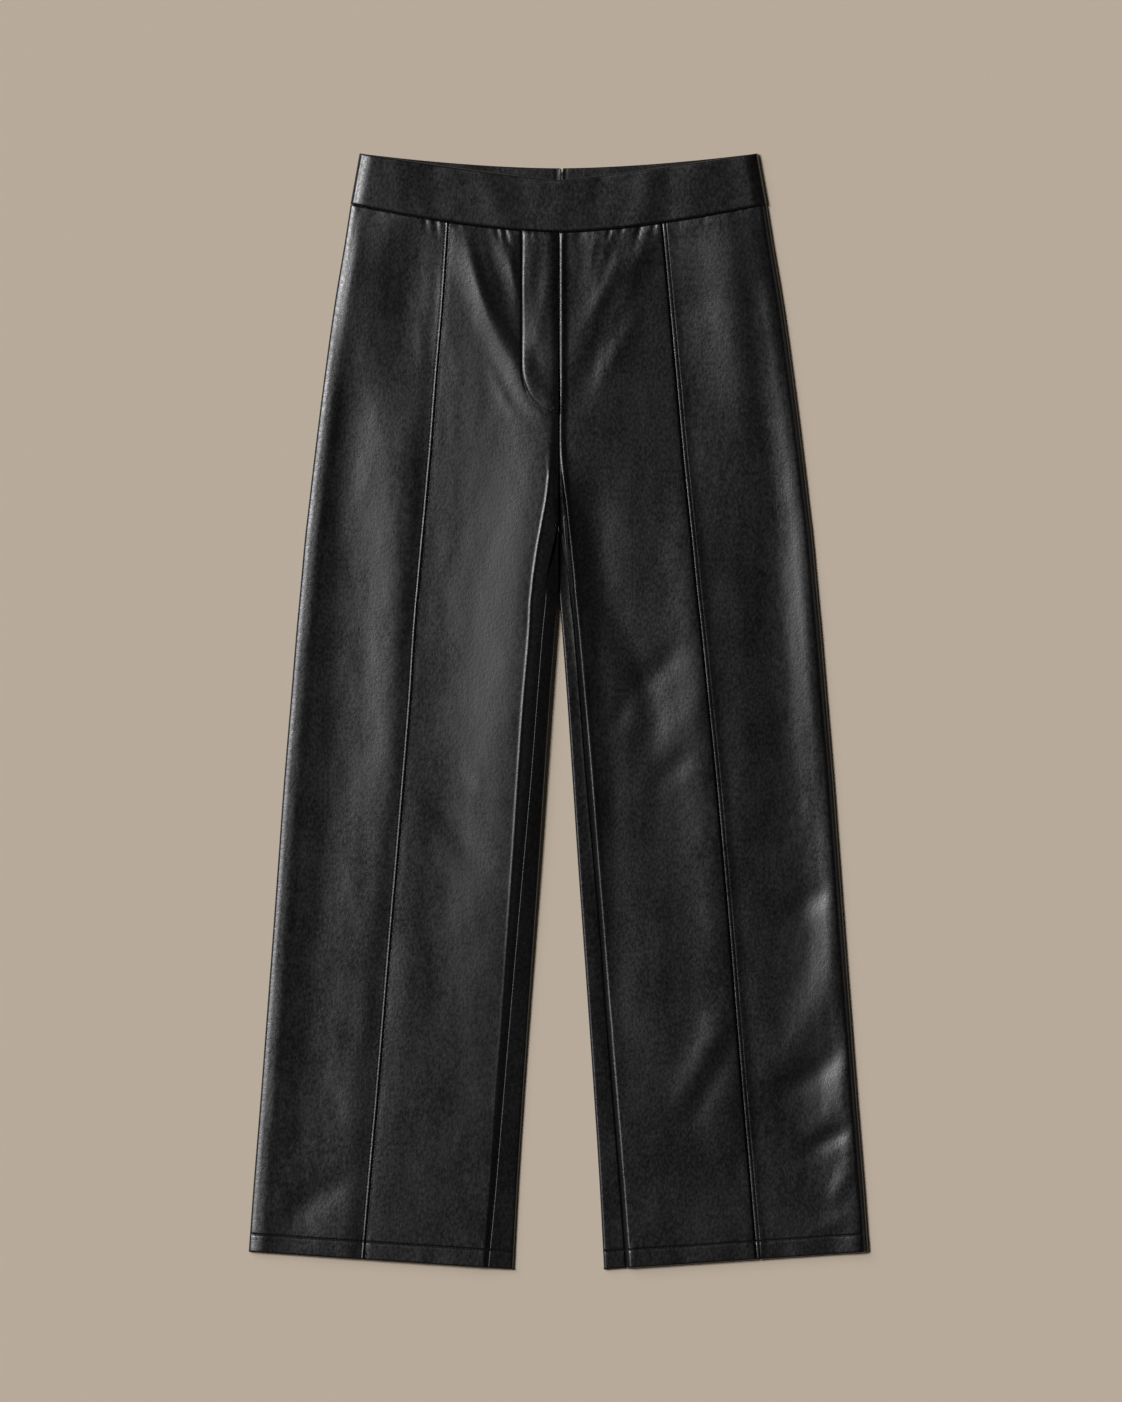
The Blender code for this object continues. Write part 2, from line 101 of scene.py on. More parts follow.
RIB_WIDTH = 3.4 * MM
FLY_WIDTH = 33.9 * MM
FLY_STRAIGHT_END_Y = 317.0 * MM
FLY_BOTTOM_Y = 276.9 * MM
VALLEY_TOP_Y = 230.0 * MM
SEAT_LIFT = 5 * MM
PANEL_TOP_Y = WAIST_SEAM_CENTRE_Y - 2 * HALF_GAP
PANEL_TOP_SIDE_Y = WAIST_SEAM_SIDE_Y - 2 * HALF_GAP
WAIST_CURVE = 1.6
print("garment length", round((TOP_Y - HEM_INNER_Y) / MM), "mm")

# %% [markdown]
# ## The cut, level by level
# The outline, the front leg seams, the inner edge of the leg, the inseam and the crest beside
# it all change slowly down the garment. One short table holds them, and a smooth curve runs
# through each column. The inseam columns are distances in from the inner edge of the leg.

# %% Table of levels
SECTION_COLUMNS = (
    "level", "outer", "seam_left", "seam_right", "inner",
    "inseam_left", "inseam_right", "roll_left", "roll_right",
)
SECTIONS = (
    (480.0, 192.2, 100.2, 94.3, 0.2, 0.0, 0.0, 4.0, 2.7),
    (438.5, 198.6, 102.6, 98.1, 0.2, 0.0, 0.0, 4.0, 2.7),
    (382.7, 207.9, 106.4, 103.2, 0.2, 0.0, 0.0, 4.0, 2.7),
    (308.3, 218.3, 112.5, 110.0, 0.2, 0.0, 0.0, 5.0, 2.7),
    (233.9, 227.6, 118.1, 116.7, 0.2, 0.0, 0.0, 8.0, 3.0),
    (215.3, 229.8, 119.8, 118.6, 0.2, 0.0, 0.0, 9.2, 4.8),
    (196.7, 231.9, 121.4, 120.5, 0.2, 0.0, 0.0, 11.4, 7.2),
    (178.0, 234.1, 123.1, 122.4, 0.2, 0.2, 0.2, 14.8, 9.2),
    (168.0, 235.3, 124.0, 123.5, 0.2, 1.9, 2.4, 16.6, 10.3),
    (155.0, 236.6, 125.2, 124.8, 0.2, 4.5, 5.6, 19.0, 11.8),
    (142.0, 237.8, 126.4, 126.1, 0.2, 7.2, 8.0, 21.0, 13.1),
    (119.5, 239.8, 128.4, 128.3, 0.2, 10.9, 10.3, 24.0, 15.3),
    (112.0, 240.5, 129.1, 129.0, 0.4, 11.1, 10.6, 24.5, 15.6),
    (103.0, 241.3, 130.0, 130.0, 1.1, 11.2, 10.8, 24.8, 15.8),
    (85.1, 243.0, 131.5, 132.0, 2.5, 11.7, 11.2, 24.2, 16.2),
    (10.7, 249.2, 136.4, 139.6, 8.0, 12.4, 12.0, 24.8, 17.6),
    (-63.7, 255.4, 142.4, 147.0, 13.0, 13.2, 12.9, 25.0, 19.0),
    (-138.1, 260.8, 148.7, 153.7, 17.8, 15.0, 14.8, 25.0, 20.0),
    (-212.5, 266.2, 155.1, 160.1, 23.0, 16.4, 15.8, 25.0, 21.0),
    (-286.9, 271.8, 161.2, 166.0, 28.2, 17.6, 16.2, 25.0, 22.0),
    (-361.3, 277.4, 167.3, 172.1, 33.2, 18.8, 17.2, 26.0, 23.0),
    (-435.7, 283.4, 174.0, 178.6, 37.9, 20.2, 18.6, 26.0, 24.0),
    (-519.4, 289.5, 181.0, 185.6, 42.3, 23.6, 20.4, 28.0, 26.0),
)


def smooth_line(column):
    """A smooth curve through one column of the table, as a function of the level."""
    rows = np.array(SECTIONS)[::-1] * MM
    levels, values = rows[:, 0], rows[:, SECTION_COLUMNS.index(column)]
    slopes = np.gradient(values, levels)

    def at(level):
        level = np.clip(level, levels[0], levels[-1])
        below = np.clip(np.searchsorted(levels, level) - 1, 0, len(levels) - 2)
        span = levels[below + 1] - levels[below]
        t = (level - levels[below]) / span
        start = values[below] * (1 + 2 * t) * (1 - t) ** 2
        end = values[below + 1] * t * t * (3 - 2 * t)
        bend = span * (slopes[below] * t * (1 - t) ** 2 - slopes[below + 1] * t * t * (1 - t))
        return np.maximum(start + end + bend, HALF_GAP)

    return at


LINES = {name: smooth_line(name) for name in SECTION_COLUMNS[1:]}
print("hem width", round((LINES["outer"](HEM_SIDE_Y) - LINES["inner"](HEM_INNER_Y)) / MM), "mm")

# %% [markdown]
# ## Easing
# Nothing on a soft garment starts or stops at once: a fold dies away and a hollow deepens by
# degrees. Each such change is one eased step between a level and a length, which reads more
# plainly in a formula than a curve drawn by hand.

# %% Easing
def ease(share):
    """0 to 1, slow at both ends."""
    share = np.clip(share, 0.0, 1.0)
    return share * share * (3 - 2 * share)


def mix(a, b, share):
    return a + (b - a) * share


def once_below(y, level, over):
    """0 above a level and 1 below it, easing over a length. Both are in millimetres."""
    return ease((level * MM - y) / (over * MM))


def once_above(y, level, over):
    """0 below a level and 1 above it, easing over a length. Both are in millimetres."""
    return ease((y - level * MM) / (over * MM))


print("a quarter of the way through, an ease has reached", ease(0.25))

# %% [markdown]
# ## Rows and columns of points
# A row runs across the garment and climbs towards the side seam, as the hem and the waist do.
# Points lie close together where leather turns tightly, at a seam or an edge, and far apart in
# the open panel, so that the fine form is sharp and the mesh stays light. An even grid fine
# enough for the seams would have ten times the points.

# %% Rows and columns
FRONT_PITCH = 2.6 * MM
BACK_PITCH = 4.0 * MM
LEAST_ROW_STEP = 0.11 * MM
BOW_FADES_AT = 0.3


def graded(fine, growth, reach):
    """Distances from an edge, in steps that grow from a fine one up to a reach."""
    count = math.ceil(math.log(1 + reach * (growth - 1) / fine, growth))
    return fine * (growth ** np.arange(count + 1) - 1) / (growth - 1)


def spaced(lengths, least):
    """Sorted distances with none closer to the one before than the least."""
    kept = []
    for length in np.sort(lengths):
        if not kept or length - kept[-1] >= least:
            kept.append(length)
    return np.array(kept)


def row_levels(pitch):
    """Levels of the rows at the inner side: fine at the waist seam, the hem edge and its stitches."""
    waist = PANEL_TOP_Y - graded(fine=0.3 * MM, growth=1.12, reach=16 * MM)
    turned = graded(fine=0.12 * MM, growth=1.5, reach=9 * MM)
    stitched = graded(fine=0.3 * MM, growth=1.3, reach=9 * MM)
    hem = spaced(np.concatenate((turned, HEM_TURN - stitched, HEM_TURN + stitched)), LEAST_ROW_STEP)
    count = round((waist[-1] - HEM_INNER_Y - hem[-1]) / pitch)
    middle = np.linspace(waist[-1], HEM_INNER_Y + hem[-1], count)[1:-1]
    return np.concatenate((waist, middle, HEM_INNER_Y + hem[::-1]))


def row_level(row, x):
    """Where a row lies at a distance x from the centre."""
    down = (PANEL_TOP_Y - row) / (PANEL_TOP_Y - HEM_INNER_Y)
    side = mix(PANEL_TOP_SIDE_Y, HEM_SIDE_Y, down)
    inner = LINES["inner"](row)
    outer = LINES["outer"](side)
    along_row = np.clip((x - inner) / (outer - inner), 0.0, 1.0)
    bow = mix(WAIST_CURVE, 1.0, np.minimum(down / BOW_FADES_AT, 1.0))
    return mix(row, side, along_row ** bow)


def where(row, line):
    """The distance from the centre at which a row meets a line. A few passes settle the tilt."""
    level = row
    for _ in range(5):
        level = row_level(row, line(level))
    return line(level)


def across(start, end, near_start, near_end, count):
    """Stations of every row from one line to another, as close at each end as is asked."""
    way = np.sign(end[0] - start[0])
    first = start[:, None] + way * np.atleast_2d(near_start)
    last = end[:, None] - way * np.atleast_2d(near_end)[:, ::-1]
    shares = np.linspace(0, 1, count + 2)[None, 1:-1]
    middle = first[:, -1:] + (last[:, :1] - first[:, -1:]) * shares
    return np.hstack((first, middle, last))


FRONT_ROWS = row_levels(FRONT_PITCH)
BACK_ROWS = row_levels(BACK_PITCH)
print("rows down the front", len(FRONT_ROWS), "and the back", len(BACK_ROWS))

# %% [markdown]
# ## The form of the laid cloth
# Laid flat, each leg is a flat tube: it turns round at the side and at the inner edge, and
# swells between them. Below the fly the front dips between the legs, down to the crotch. The
# form could be sculpted, or dropped as cloth, but formulas keep every sheet on the same form.
# Spreads, heights and depths in these tables are in millimetres. A pair such as (125, 90) is a
# level and the length over which something changes there, also in millimetres.

# %% Turned edges
CROTCH_SOFTENS = (125, 90)
FLAT_TURN = math.radians(80)


def inner_radius(side, level):
    """At the crotch the right leg turns more sharply and lies a little under the left one."""
    return mix(CROTCH_RADIUS[side], INNER_RADIUS, once_below(level, *CROTCH_SOFTENS))


def turned_edge(radius):
    """Where a turned edge goes over into the open cloth: how far in and how high."""
    return radius * (1 - math.cos(FLAT_TURN)), radius * (1 + math.sin(FLAT_TURN))


def round_edge(distance, radius):
    """Rise of a turned edge above its middle, at a distance in from the edge."""
    left = np.maximum(radius - distance, 0)
    return np.sqrt(np.maximum(radius ** 2 - left ** 2, 0))


def edge_distance(run, radius):
    """The distance in from an edge after running a length along the turned cloth."""
    quarter = radius * math.pi / 2
    turned = radius * (1 - np.cos(np.clip(run, 0, quarter) / radius))
    return turned + np.maximum(run - quarter, 0)


def shoulder(distance, width, radius):
    """Height of the upper cloth near an edge: it turns round the edge, then swells to the loft."""
    turned_at, turned_height = turned_edge(radius)
    left = 1 - np.clip((distance - turned_at) / (width - turned_at), 0, 1)
    swell = LOFT - (LOFT - turned_height) * left ** 2
    return np.where(distance < turned_at, radius + round_edge(distance, radius), swell)


EDGE_COLUMNS = ("foot_share", "foot_rise", "crotch_foot_rise", "flank_power")
LEG_EDGES = {"left": (0.0, 2.0, 2.2, 1.15), "right": (0.6, -0.7, -1.4, 2.0)}
FOOT_SETTLES = (158, 70)
LEAST_FOOT = 1.1


def inner_shoulder(side, distance, y):
    """Height near the inner edge: the turn, the strip up to the inseam and the flank to the crest."""
    edge = dict(zip(EDGE_COLUMNS, LEG_EDGES[side]))
    radius = inner_radius(side, y)
    turned_at, turned_height = turned_edge(radius)
    crest_at = LINES["roll_" + side](y)
    foot_at = np.maximum(LINES["inseam_" + side](y), edge["foot_share"] * crest_at)
    foot_at = np.maximum(foot_at, turned_at * LEAST_FOOT)
    rise = mix(edge["crotch_foot_rise"], edge["foot_rise"], once_below(y, *FOOT_SETTLES)) * MM
    strip = turned_height + rise * np.clip((distance - turned_at) / (foot_at - turned_at), 0, 1)
    left = 1 - np.clip((distance - foot_at) / (crest_at - foot_at), 0, 1)
    flank = LOFT - (LOFT - turned_height - rise) * left ** edge["flank_power"]
    return np.where(distance < turned_at, radius + round_edge(distance, radius),
                    np.where(distance < foot_at, strip, flank))


print("the side edge turns up to", round(float(turned_edge(SIDE_RADIUS)[1]) / MM, 2), "mm")

# %% [markdown]
# ## Crests and hollows
# A ridge runs beside the inner edge of each leg, because the leather stands over the inseam's
# folded allowance. The stiff side seam holds the outer edge up too, so the leg sags between
# them. The tables give each leg its own spreads, as the cloth was laid down by hand.

# %% Crests and hollows
CREST_COLUMNS = ("rise", "outer_spread", "inner_spread", "fold", "fold_spread")
CRESTS = {"left": (5.5, 50, 40, 0.5, 1.4), "right": (1.6, 12, 5, 1.4, 3.0)}
CREST_TOPS = {"left": (372, 100), "right": (246, 50)}
CREST_ENDS = {"left": (-420, 480), "right": (-260, 200)}
LOWER_FOLD = {"left": 1.0, "right": 0.4}
LOWER_FOLD_ENDS = (120, 60)
LEFT_FOLD_STARTS = (262, 50)
HOLLOW_COLUMNS = ("middle", "edge_spread", "inner_spread", "depth")
UPPER_HOLLOWS = {"left": (30, 18, 26, 2.2), "right": (34, 18, 90, 3.0)}
LOWER_HOLLOWS = {"left": (46, 26, 42, 2.3), "right": (38, 22, 90, 2.4)}
HOLLOW_STARTS = {"left": (90, 120), "right": (0, 90)}
HOLLOW_CHANGES = (270, 330)
HOLLOWS_FADE_IN = (0, 90)
HEM_HOLLOW_SHARE = 0.45
HEM_HOLLOW_FADES = (0, 160)
SEAM_DIPS = {"left": ((15, 0.8), (12, 1.0)), "right": ((14, -0.1), (16, 0.5))}
SEAM_DIP_CHANGES = 12
SEAM_DIP_STARTS = (60, 120)


def crest(side, distance, y):
    """The ridge beside the inner edge of a leg, strongest at the crotch and fading down the leg."""
    ridge = dict(zip(CREST_COLUMNS, CRESTS[side]))
    beyond = (distance - LINES["roll_" + side](y)) / MM
    spread = np.where(beyond > 0, ridge["outer_spread"], ridge["inner_spread"])
    broad = ridge["rise"] * np.exp(-(beyond / spread) ** 2) * once_below(y, *CREST_TOPS[side])
    weaker = mix(LOWER_FOLD[side], 1.0, once_above(y, *LOWER_FOLD_ENDS))
    sharp = once_below(y, *LEFT_FOLD_STARTS) if side == "left" else 1.0
    fine = ridge["fold"] * np.exp(-(beyond / ridge["fold_spread"]) ** 2) * weaker * sharp
    return (broad + fine) * once_above(y, *CREST_ENDS[side]) * MM


def waist_level(x):
    share = np.minimum(np.abs(x) / BAND_BOTTOM_HALF, 1.0)
    return mix(WAIST_SEAM_CENTRE_Y, WAIST_SEAM_SIDE_Y, share ** WAIST_CURVE)


def hollows(side, x, y):
    """The stiff side seam holds the edge up, and the leg sags beside it and at the leg seam."""
    below_waist = waist_level(x) - y
    upper = np.array(UPPER_HOLLOWS[side]).reshape((4,) + (1,) * np.ndim(x))
    lower = np.array(LOWER_HOLLOWS[side]).reshape(upper.shape)
    hollow = dict(zip(HOLLOW_COLUMNS, mix(upper, lower, once_below(y, *HOLLOW_CHANGES))))
    from_middle = (LINES["outer"](y) - x) / MM - hollow["middle"]
    spread = np.where(from_middle < 0, hollow["edge_spread"], hollow["inner_spread"])
    beside_edge = hollow["depth"] * np.exp(-(from_middle / spread) ** 2)
    beside_edge = beside_edge * once_above(below_waist, *HOLLOW_STARTS[side])
    beside_edge = beside_edge * mix(HEM_HOLLOW_SHARE, 1.0, once_above(y - HEM_INNER_Y, *HEM_HOLLOW_FADES))
    beyond = (x - LINES["seam_" + side](y)) / MM
    (inner_spread, inner_depth), (outer_spread, outer_depth) = SEAM_DIPS[side]
    inner_depth = inner_depth * once_above(below_waist, *SEAM_DIP_STARTS)
    outer_depth = mix(inner_depth, outer_depth, ease(beyond / SEAM_DIP_CHANGES))
    dip = np.where(beyond < 0, inner_depth * np.exp(-(beyond / inner_spread) ** 2),
                   outer_depth * np.exp(-(beyond / outer_spread) ** 2))
    return -(beside_edge + dip) * MM * once_above(below_waist, *HOLLOWS_FADE_IN)


print("left crest stands", round(float(crest("left", 0.03, 0.1)) / MM, 2), "mm over the leg")

# %% [markdown]
# ## The whole form
# At each point the lower of the two edge forms counts. Both reach the same height in the open
# leg, so no line shows where they meet. High up, beside the fly, a leg has no inner edge yet,
# and the front goes straight across to the other leg.

# %% Laid form
HOLLOWS_CLEAR_EDGE = (6, 14)
EDGE_DROP_STARTS = (0, 10)


def valley_depth(y):
    """0 where the front goes straight across and 1 at the crotch, where it has dipped."""
    return ease((VALLEY_TOP_Y - y) / (VALLEY_TOP_Y - CROTCH_Y))


def laid_form(side, x, y):
    """Height of the upper face of the cloth before folds and seams."""
    from_side = LINES["outer"](y) - x
    from_inner = x - LINES["inner"](y)
    by_side = shoulder(from_side, SIDE_SWELL[side], SIDE_RADIUS)
    by_inner = mix(LOFT, inner_shoulder(side, from_inner, y), valley_depth(y))
    drop = EDGE_DROP[side] * once_above(from_side, *EDGE_DROP_STARTS)
    drop = drop * np.exp(-(from_side / EDGE_DROP_REACH) ** 2)
    sag = hollows(side, x, y) * once_above(from_side, *HOLLOWS_CLEAR_EDGE)
    return np.minimum(by_side, by_inner) - drop + sag + crest(side, from_inner, y)


print("height beside the left crest", round(float(laid_form("left", 0.04, 0.1)) / MM, 2), "mm")

# %% [markdown]
# ## Folds and creases
# Leather remembers how it hung and how it was laid down. Long soft folds run from the waist
# seam towards the crotch, over the knees and above the hems. Each is one row of a table: three
# points of its line, how far it spreads and how high it stands, or how deep it lies if that is
# below zero. The larger ones are in the solids too. No two are alike, as on real leather.

# %% Fold tables
FOLD_COLUMNS = ("x0", "y0", "x1", "y1", "x2", "y2", "spread", "height")
FOLDS = {
    "left": (
        (87, 440, 59, 358, 14, 285, 12, 2.8),
        (74, 438, 48, 368, 30, 330, 10, -0.6),
        (57, 446, 46, 415, 38, 388, 6, 0.8),
        (188, 450, 198, 400, 206, 340, 14, 0.8),
        (134, 458, 136, 390, 142, 290, 26, -1.9),
        (84, 440, 74, 395, 58, 350, 4, 0.5),
        (70, 438, 62, 405, 48, 368, 4, 0.4),
        (46, 440, 43, 412, 38, 384, 3, 0.45),
        (66, 330, 50, 290, 26, 262, 5, 0.35),
        (144, 260, 148, 90, 154, -160, 20, 1.3),
        (120, -70, 95, -110, 64, -150, 13, -0.9),
        (84, -60, 60, -78, 42, -84, 8, 0.5),
        (222, -388, 234, -420, 250, -455, 14, 0.35),
        (194, -436, 222, -450, 254, -473, 13, -0.85),
    ),
    "right": (
        (90, 443, 55, 400, 20, 327, 13, 1.3),
        (72, 415, 42, 360, 22, 290, 11, -1.0),
        (48, 446, 38, 415, 30, 385, 7, 0.7),
        (118, 66, 92, 38, 60, 8, 13, -0.8),
        (146, 38, 124, 0, 98, -36, 18, 0.75),
        (122, -36, 108, -52, 94, -68, 11, -0.85),
        (158, 452, 166, 370, 178, 270, 30, 4.4),
        (168, 300, 174, 20, 196, -330, 34, 1.6),
        (32, 215, 38, 150, 56, 70, 16, -1.4),
        (60, 70, 84, 10, 78, -50, 14, -1.3),
        (50, -60, 48, -200, 66, -380, 16, -1.0),
        (112, 215, 128, 20, 156, -400, 20, 1.7),
        (35, 442, 30, 420, 26, 392, 4, 0.5),
        (62, 440, 48, 405, 30, 368, 6, 0.45),
        (82, 438, 62, 390, 40, 346, 8, 0.55),
        (74, 378, 56, 338, 34, 300, 8, 0.4),
        (228, 141, 232, 20, 226, -147, 16, 0.9),
        (252, -161, 234, -175, 215, -189, 12, -1.0),
        (260, -171, 243, -270, 205, -330, 18, 1.7),
        (271, -303, 236, -338, 197, -352, 12, -1.3),
        (268, -352, 248, -377, 228, -400, 13, 0.55),
        (276, -387, 252, -397, 224, -414, 9, -1.1),
        (274, -420, 263, -440, 254, -458, 9, 0.8),
        (268, -470, 254, -476, 240, -482, 8, 0.6),
        (156, -272, 138, -318, 116, -360, 15, 1.2),
        (160, -296, 140, -345, 113, -389, 12, -0.95),
        (66, 20, 60, 0, 52, -12, 8, -0.5),
    ),
}
# Under the legs every crease is drawn up off the floor, so the leather between them lies flat.
BACK_FOLDS = {
    "left": (
        (60, 420, 84, 350, 92, 270, 16, 0.9),
        (170, 430, 176, 330, 190, 210, 18, 0.8),
        (70, 190, 104, 168, 150, 160, 13, 0.9),
        (84, 150, 118, 134, 168, 136, 12, 0.7),
        (96, 60, 140, -40, 150, -190, 20, 0.8),
        (90, -90, 128, -118, 180, -112, 13, 0.9),
        (120, -300, 160, -344, 214, -352, 14, 0.8),
        (104, -420, 150, -446, 210, -440, 12, 0.6),
    ),
    "right": (
        (52, 428, 70, 360, 76, 286, 15, 0.8),
        (150, 436, 168, 350, 172, 240, 18, 0.9),
        (64, 196, 110, 182, 160, 150, 13, 0.8),
        (100, 132, 140, 112, 190, 118, 13, 0.9),
        (112, 40, 128, -60, 164, -170, 19, 0.8),
        (104, -70, 150, -96, 196, -140, 13, 0.9),
        (110, -250, 150, -306, 206, -300, 14, 0.8),
        (118, -400, 170, -430, 220, -416, 12, 0.6),
    ),
}
print("folds", {side: len(rows) for side, rows in FOLDS.items()})

# %% [markdown]
# ## From the tables to relief
# A fold bends, so its three points are joined by a smooth curve, cut into short straight steps.
# Each point of the leather then rises by its distance from the nearest step. The finest
# unevenness has no line of its own, and comes from seeded random patches.

# %% Relief of the folds
FOLD_STEPS = 16
FOLD_TAPER = {"start": 0.06, "run": 0.88, "power": 0.8}


def fold_relief(table, x, y):
    """Sum of the folds in a table at points x, y: a soft ridge or trough along each line."""
    relief = np.zeros(np.broadcast(x, y).shape)
    for row in table:
        fold = dict(zip(FOLD_COLUMNS, row))
        start, middle, end = (
            np.array((fold["x" + n], fold["y" + n])) * MM for n in "012")
        bend = 2 * middle - (start + end) / 2
        share = np.linspace(0, 1, FOLD_STEPS + 1)[:, None]
        line = start * (1 - share) ** 2 + 2 * bend * share * (1 - share) + end * share ** 2
        nearest = np.full(relief.shape, np.inf)
        along = np.zeros(relief.shape)
        for index in range(FOLD_STEPS):
            a, way = line[index], line[index + 1] - line[index]
            t = np.clip(((x - a[0]) * way[0] + (y - a[1]) * way[1]) / (way @ way), 0, 1)
            gap = (x - a[0] - t * way[0]) ** 2 + (y - a[1] - t * way[1]) ** 2
            along = np.where(gap < nearest, (index + t) / FOLD_STEPS, along)
            nearest = np.minimum(gap, nearest)
        taper = np.sin(np.pi * (FOLD_TAPER["start"] + FOLD_TAPER["run"] * along)) ** FOLD_TAPER["power"]
        relief += fold["height"] * MM * taper * np.exp(-nearest / (fold["spread"] * MM) ** 2)
    return relief


def unevenness(x, y, wide, long, seed):
    """Smooth random relief from -1 to 1, in patches of a width and length."""
    half_width, half_length = 0.35, 0.6
    places = np.random.default_rng(seed).uniform(
        -1, 1, (math.ceil(2 * half_width / wide) + 2, math.ceil(2 * half_length / long) + 2))
    u, v = (x + half_width) / wide, (y + half_length) / long
    i, j = np.floor(u).astype(int), np.floor(v).astype(int)
    s, t = ease(u - i), ease(v - j)
    near = mix(places[i, j], places[i + 1, j], s)
    far = mix(places[i, j + 1], places[i + 1, j + 1], s)
    return mix(near, far, t)


knee = fold_relief(FOLDS["left"], 0.095, -0.11)
print("the trough beside the left knee", round(float(knee) / MM, 2), "mm")

# %% [markdown]
# ## Seams and ribs
# At a seam both sheets turn down into a narrow ditch. Along each front leg seam the outer panel
# is folded back and stitched down, which leaves a raised rib between the seam and a fine
# stitched groove. Booleans could cut such lines, but a height added to every point near the
# seam keeps the sheet's regular grid.

# %% Seams and ribs
PANEL_TURN = 0.8 * MM
SEAM_TURNS = {"left": (1.9 * MM, 0.3 * MM), "right": (0.35 * MM, 2.0 * MM)}
RIB_RISE = 0.3 * MM
RIB_SQUARENESS = 0.6
STITCH_GROOVE = (0.55 * MM, 0.17 * MM)
LEG_SEAM_DITCH = (3.5 * MM, 0.2 * MM)


def rolled(distance, radius):
    """How far leather that turns down at a seam has dropped, at a distance from the seam."""
    left = np.clip(radius - distance, 0, radius)
    return radius - np.sqrt(np.maximum(radius ** 2 - left ** 2, 0))


def groove(distance, width, depth):
    return depth * np.exp(-(distance / width) ** 2)


def leg_seam_relief(side, x, y):
    """The rib and its stitched groove on the outer panel, and the turned edges of the seam."""
    beyond = x - LINES["seam_" + side](y)
    outer = np.maximum(beyond, 0)
    inner = np.maximum(-beyond, 0)
    outer_turn, inner_turn = SEAM_TURNS[side]
    arch = np.clip(1 - (outer / RIB_WIDTH * 2 - 1) ** 2, 0, 1) ** RIB_SQUARENESS
    rib = RIB_RISE * arch - groove(outer - RIB_WIDTH, *STITCH_GROOVE) - rolled(outer, outer_turn)
    edge = -rolled(inner, inner_turn) - groove(inner, *LEG_SEAM_DITCH)
    return np.where(beyond > 0, rib, edge)


print("a panel's edge turns down by", round(float(rolled(0.0, PANEL_TURN)) / MM, 2), "mm")

# %% [markdown]
# ## Hems
# The hem is turned up and stitched, so the leather below that line is double and stands a
# little higher. The thread draws it into small ripples, most of all where the thick leg seams
# and inseams cross it.

# %% Hems
SEAM_REACH = 14 * MM
INSEAM_REACH = 10 * MM
HEM_RISE = 0.25 * MM
HEM_RISE_OVER = 2.5 * MM
HEM_EDGE_TURN = 1.5 * MM
HEM_GROOVE = (0.7 * MM, 0.5 * MM)
HEM_RIPPLE = {"wide": 5 * MM, "height": 0.10, "at_seams": 0.35, "reach": 6 * MM, "seed": 31}
HEM_WAVE = {"wide": 16 * MM, "height": 0.22 * MM, "starts": 1.6 * HEM_TURN, "seed": 32}


def hem_level(x):
    inner, outer = LINES["inner"](HEM_INNER_Y), LINES["outer"](HEM_SIDE_Y)
    return mix(HEM_INNER_Y, HEM_SIDE_Y, np.clip((x - inner) / (outer - inner), 0, 1))


def hem_relief(side, x, y):
    """The stitched line above the hem, the double leather below it and the turned edge."""
    above = y - hem_level(x)
    inseam = LINES["inner"](y) + LINES["inseam_" + side](y)
    seam_near = np.maximum(np.exp(-np.abs(x - LINES["seam_" + side](y)) / SEAM_REACH),
                           np.exp(-np.abs(x - inseam) / INSEAM_REACH))
    ripple = unevenness(x, y * 0, HEM_RIPPLE["wide"], 1.0, HEM_RIPPLE["seed"])
    ripple = ripple * (HEM_RIPPLE["height"] + HEM_RIPPLE["at_seams"] * seam_near) * MM
    ripple = ripple * np.exp(-np.abs(above - HEM_TURN) / HEM_RIPPLE["reach"])
    wave = HEM_WAVE["height"] * unevenness(x, y * 0, HEM_WAVE["wide"], 1.0, HEM_WAVE["seed"])
    wave = wave * ease((HEM_WAVE["starts"] - above) / HEM_TURN)
    double = HEM_RISE * ease((HEM_TURN - above) / HEM_RISE_OVER)
    stitched = groove(above - HEM_TURN, *HEM_GROOVE)
    return double + wave + ripple - stitched - rolled(above, HEM_EDGE_TURN)


print("leather below the hem's stitches stands", HEM_RISE / MM, "mm higher")

# %% [markdown]
# ## Waist
# The band's seam gathers the panels slightly, which leaves short creases that run down from it.
# The clear ones are placed one by one in a table, and many faint ones between them by seeded
# chance, as no two seams pucker alike.

# %% Waist puckers
WAIST_EDGE_TURN = 1.6 * MM
WAIST_DITCH = (5 * MM, 0.4 * MM)
PUCKER_WIDENS = 0.5
PUCKER_COLUMNS = ("x", "lean", "length", "width", "depth")
WAIST_PUCKERS = (
    (-124.0, 0.05, 9, 1.5, 0.7),
    (-114.5, 0.10, 12, 1.8, 0.8),
    (-94.0, 0.15, 10, 2.0, 0.25),
    (-57.5, 0.20, 11, 1.4, 0.95),
    (-50.0, 0.22, 14, 1.8, 1.0),
    (-26.0, 0.05, 8, 1.8, 0.25),
    (18.5, -0.02, 12, 1.5, 0.85),
    (30.0, -0.10, 8, 1.8, 0.25),
    (47.5, -0.20, 9, 1.4, 0.85),
    (59.0, -0.25, 7, 1.6, 0.30),
    (76.0, -0.25, 12, 1.6, 0.85),
    (89.5, -0.28, 10, 1.5, 0.7),
    (112.0, -0.10, 7, 1.6, 0.25),
)


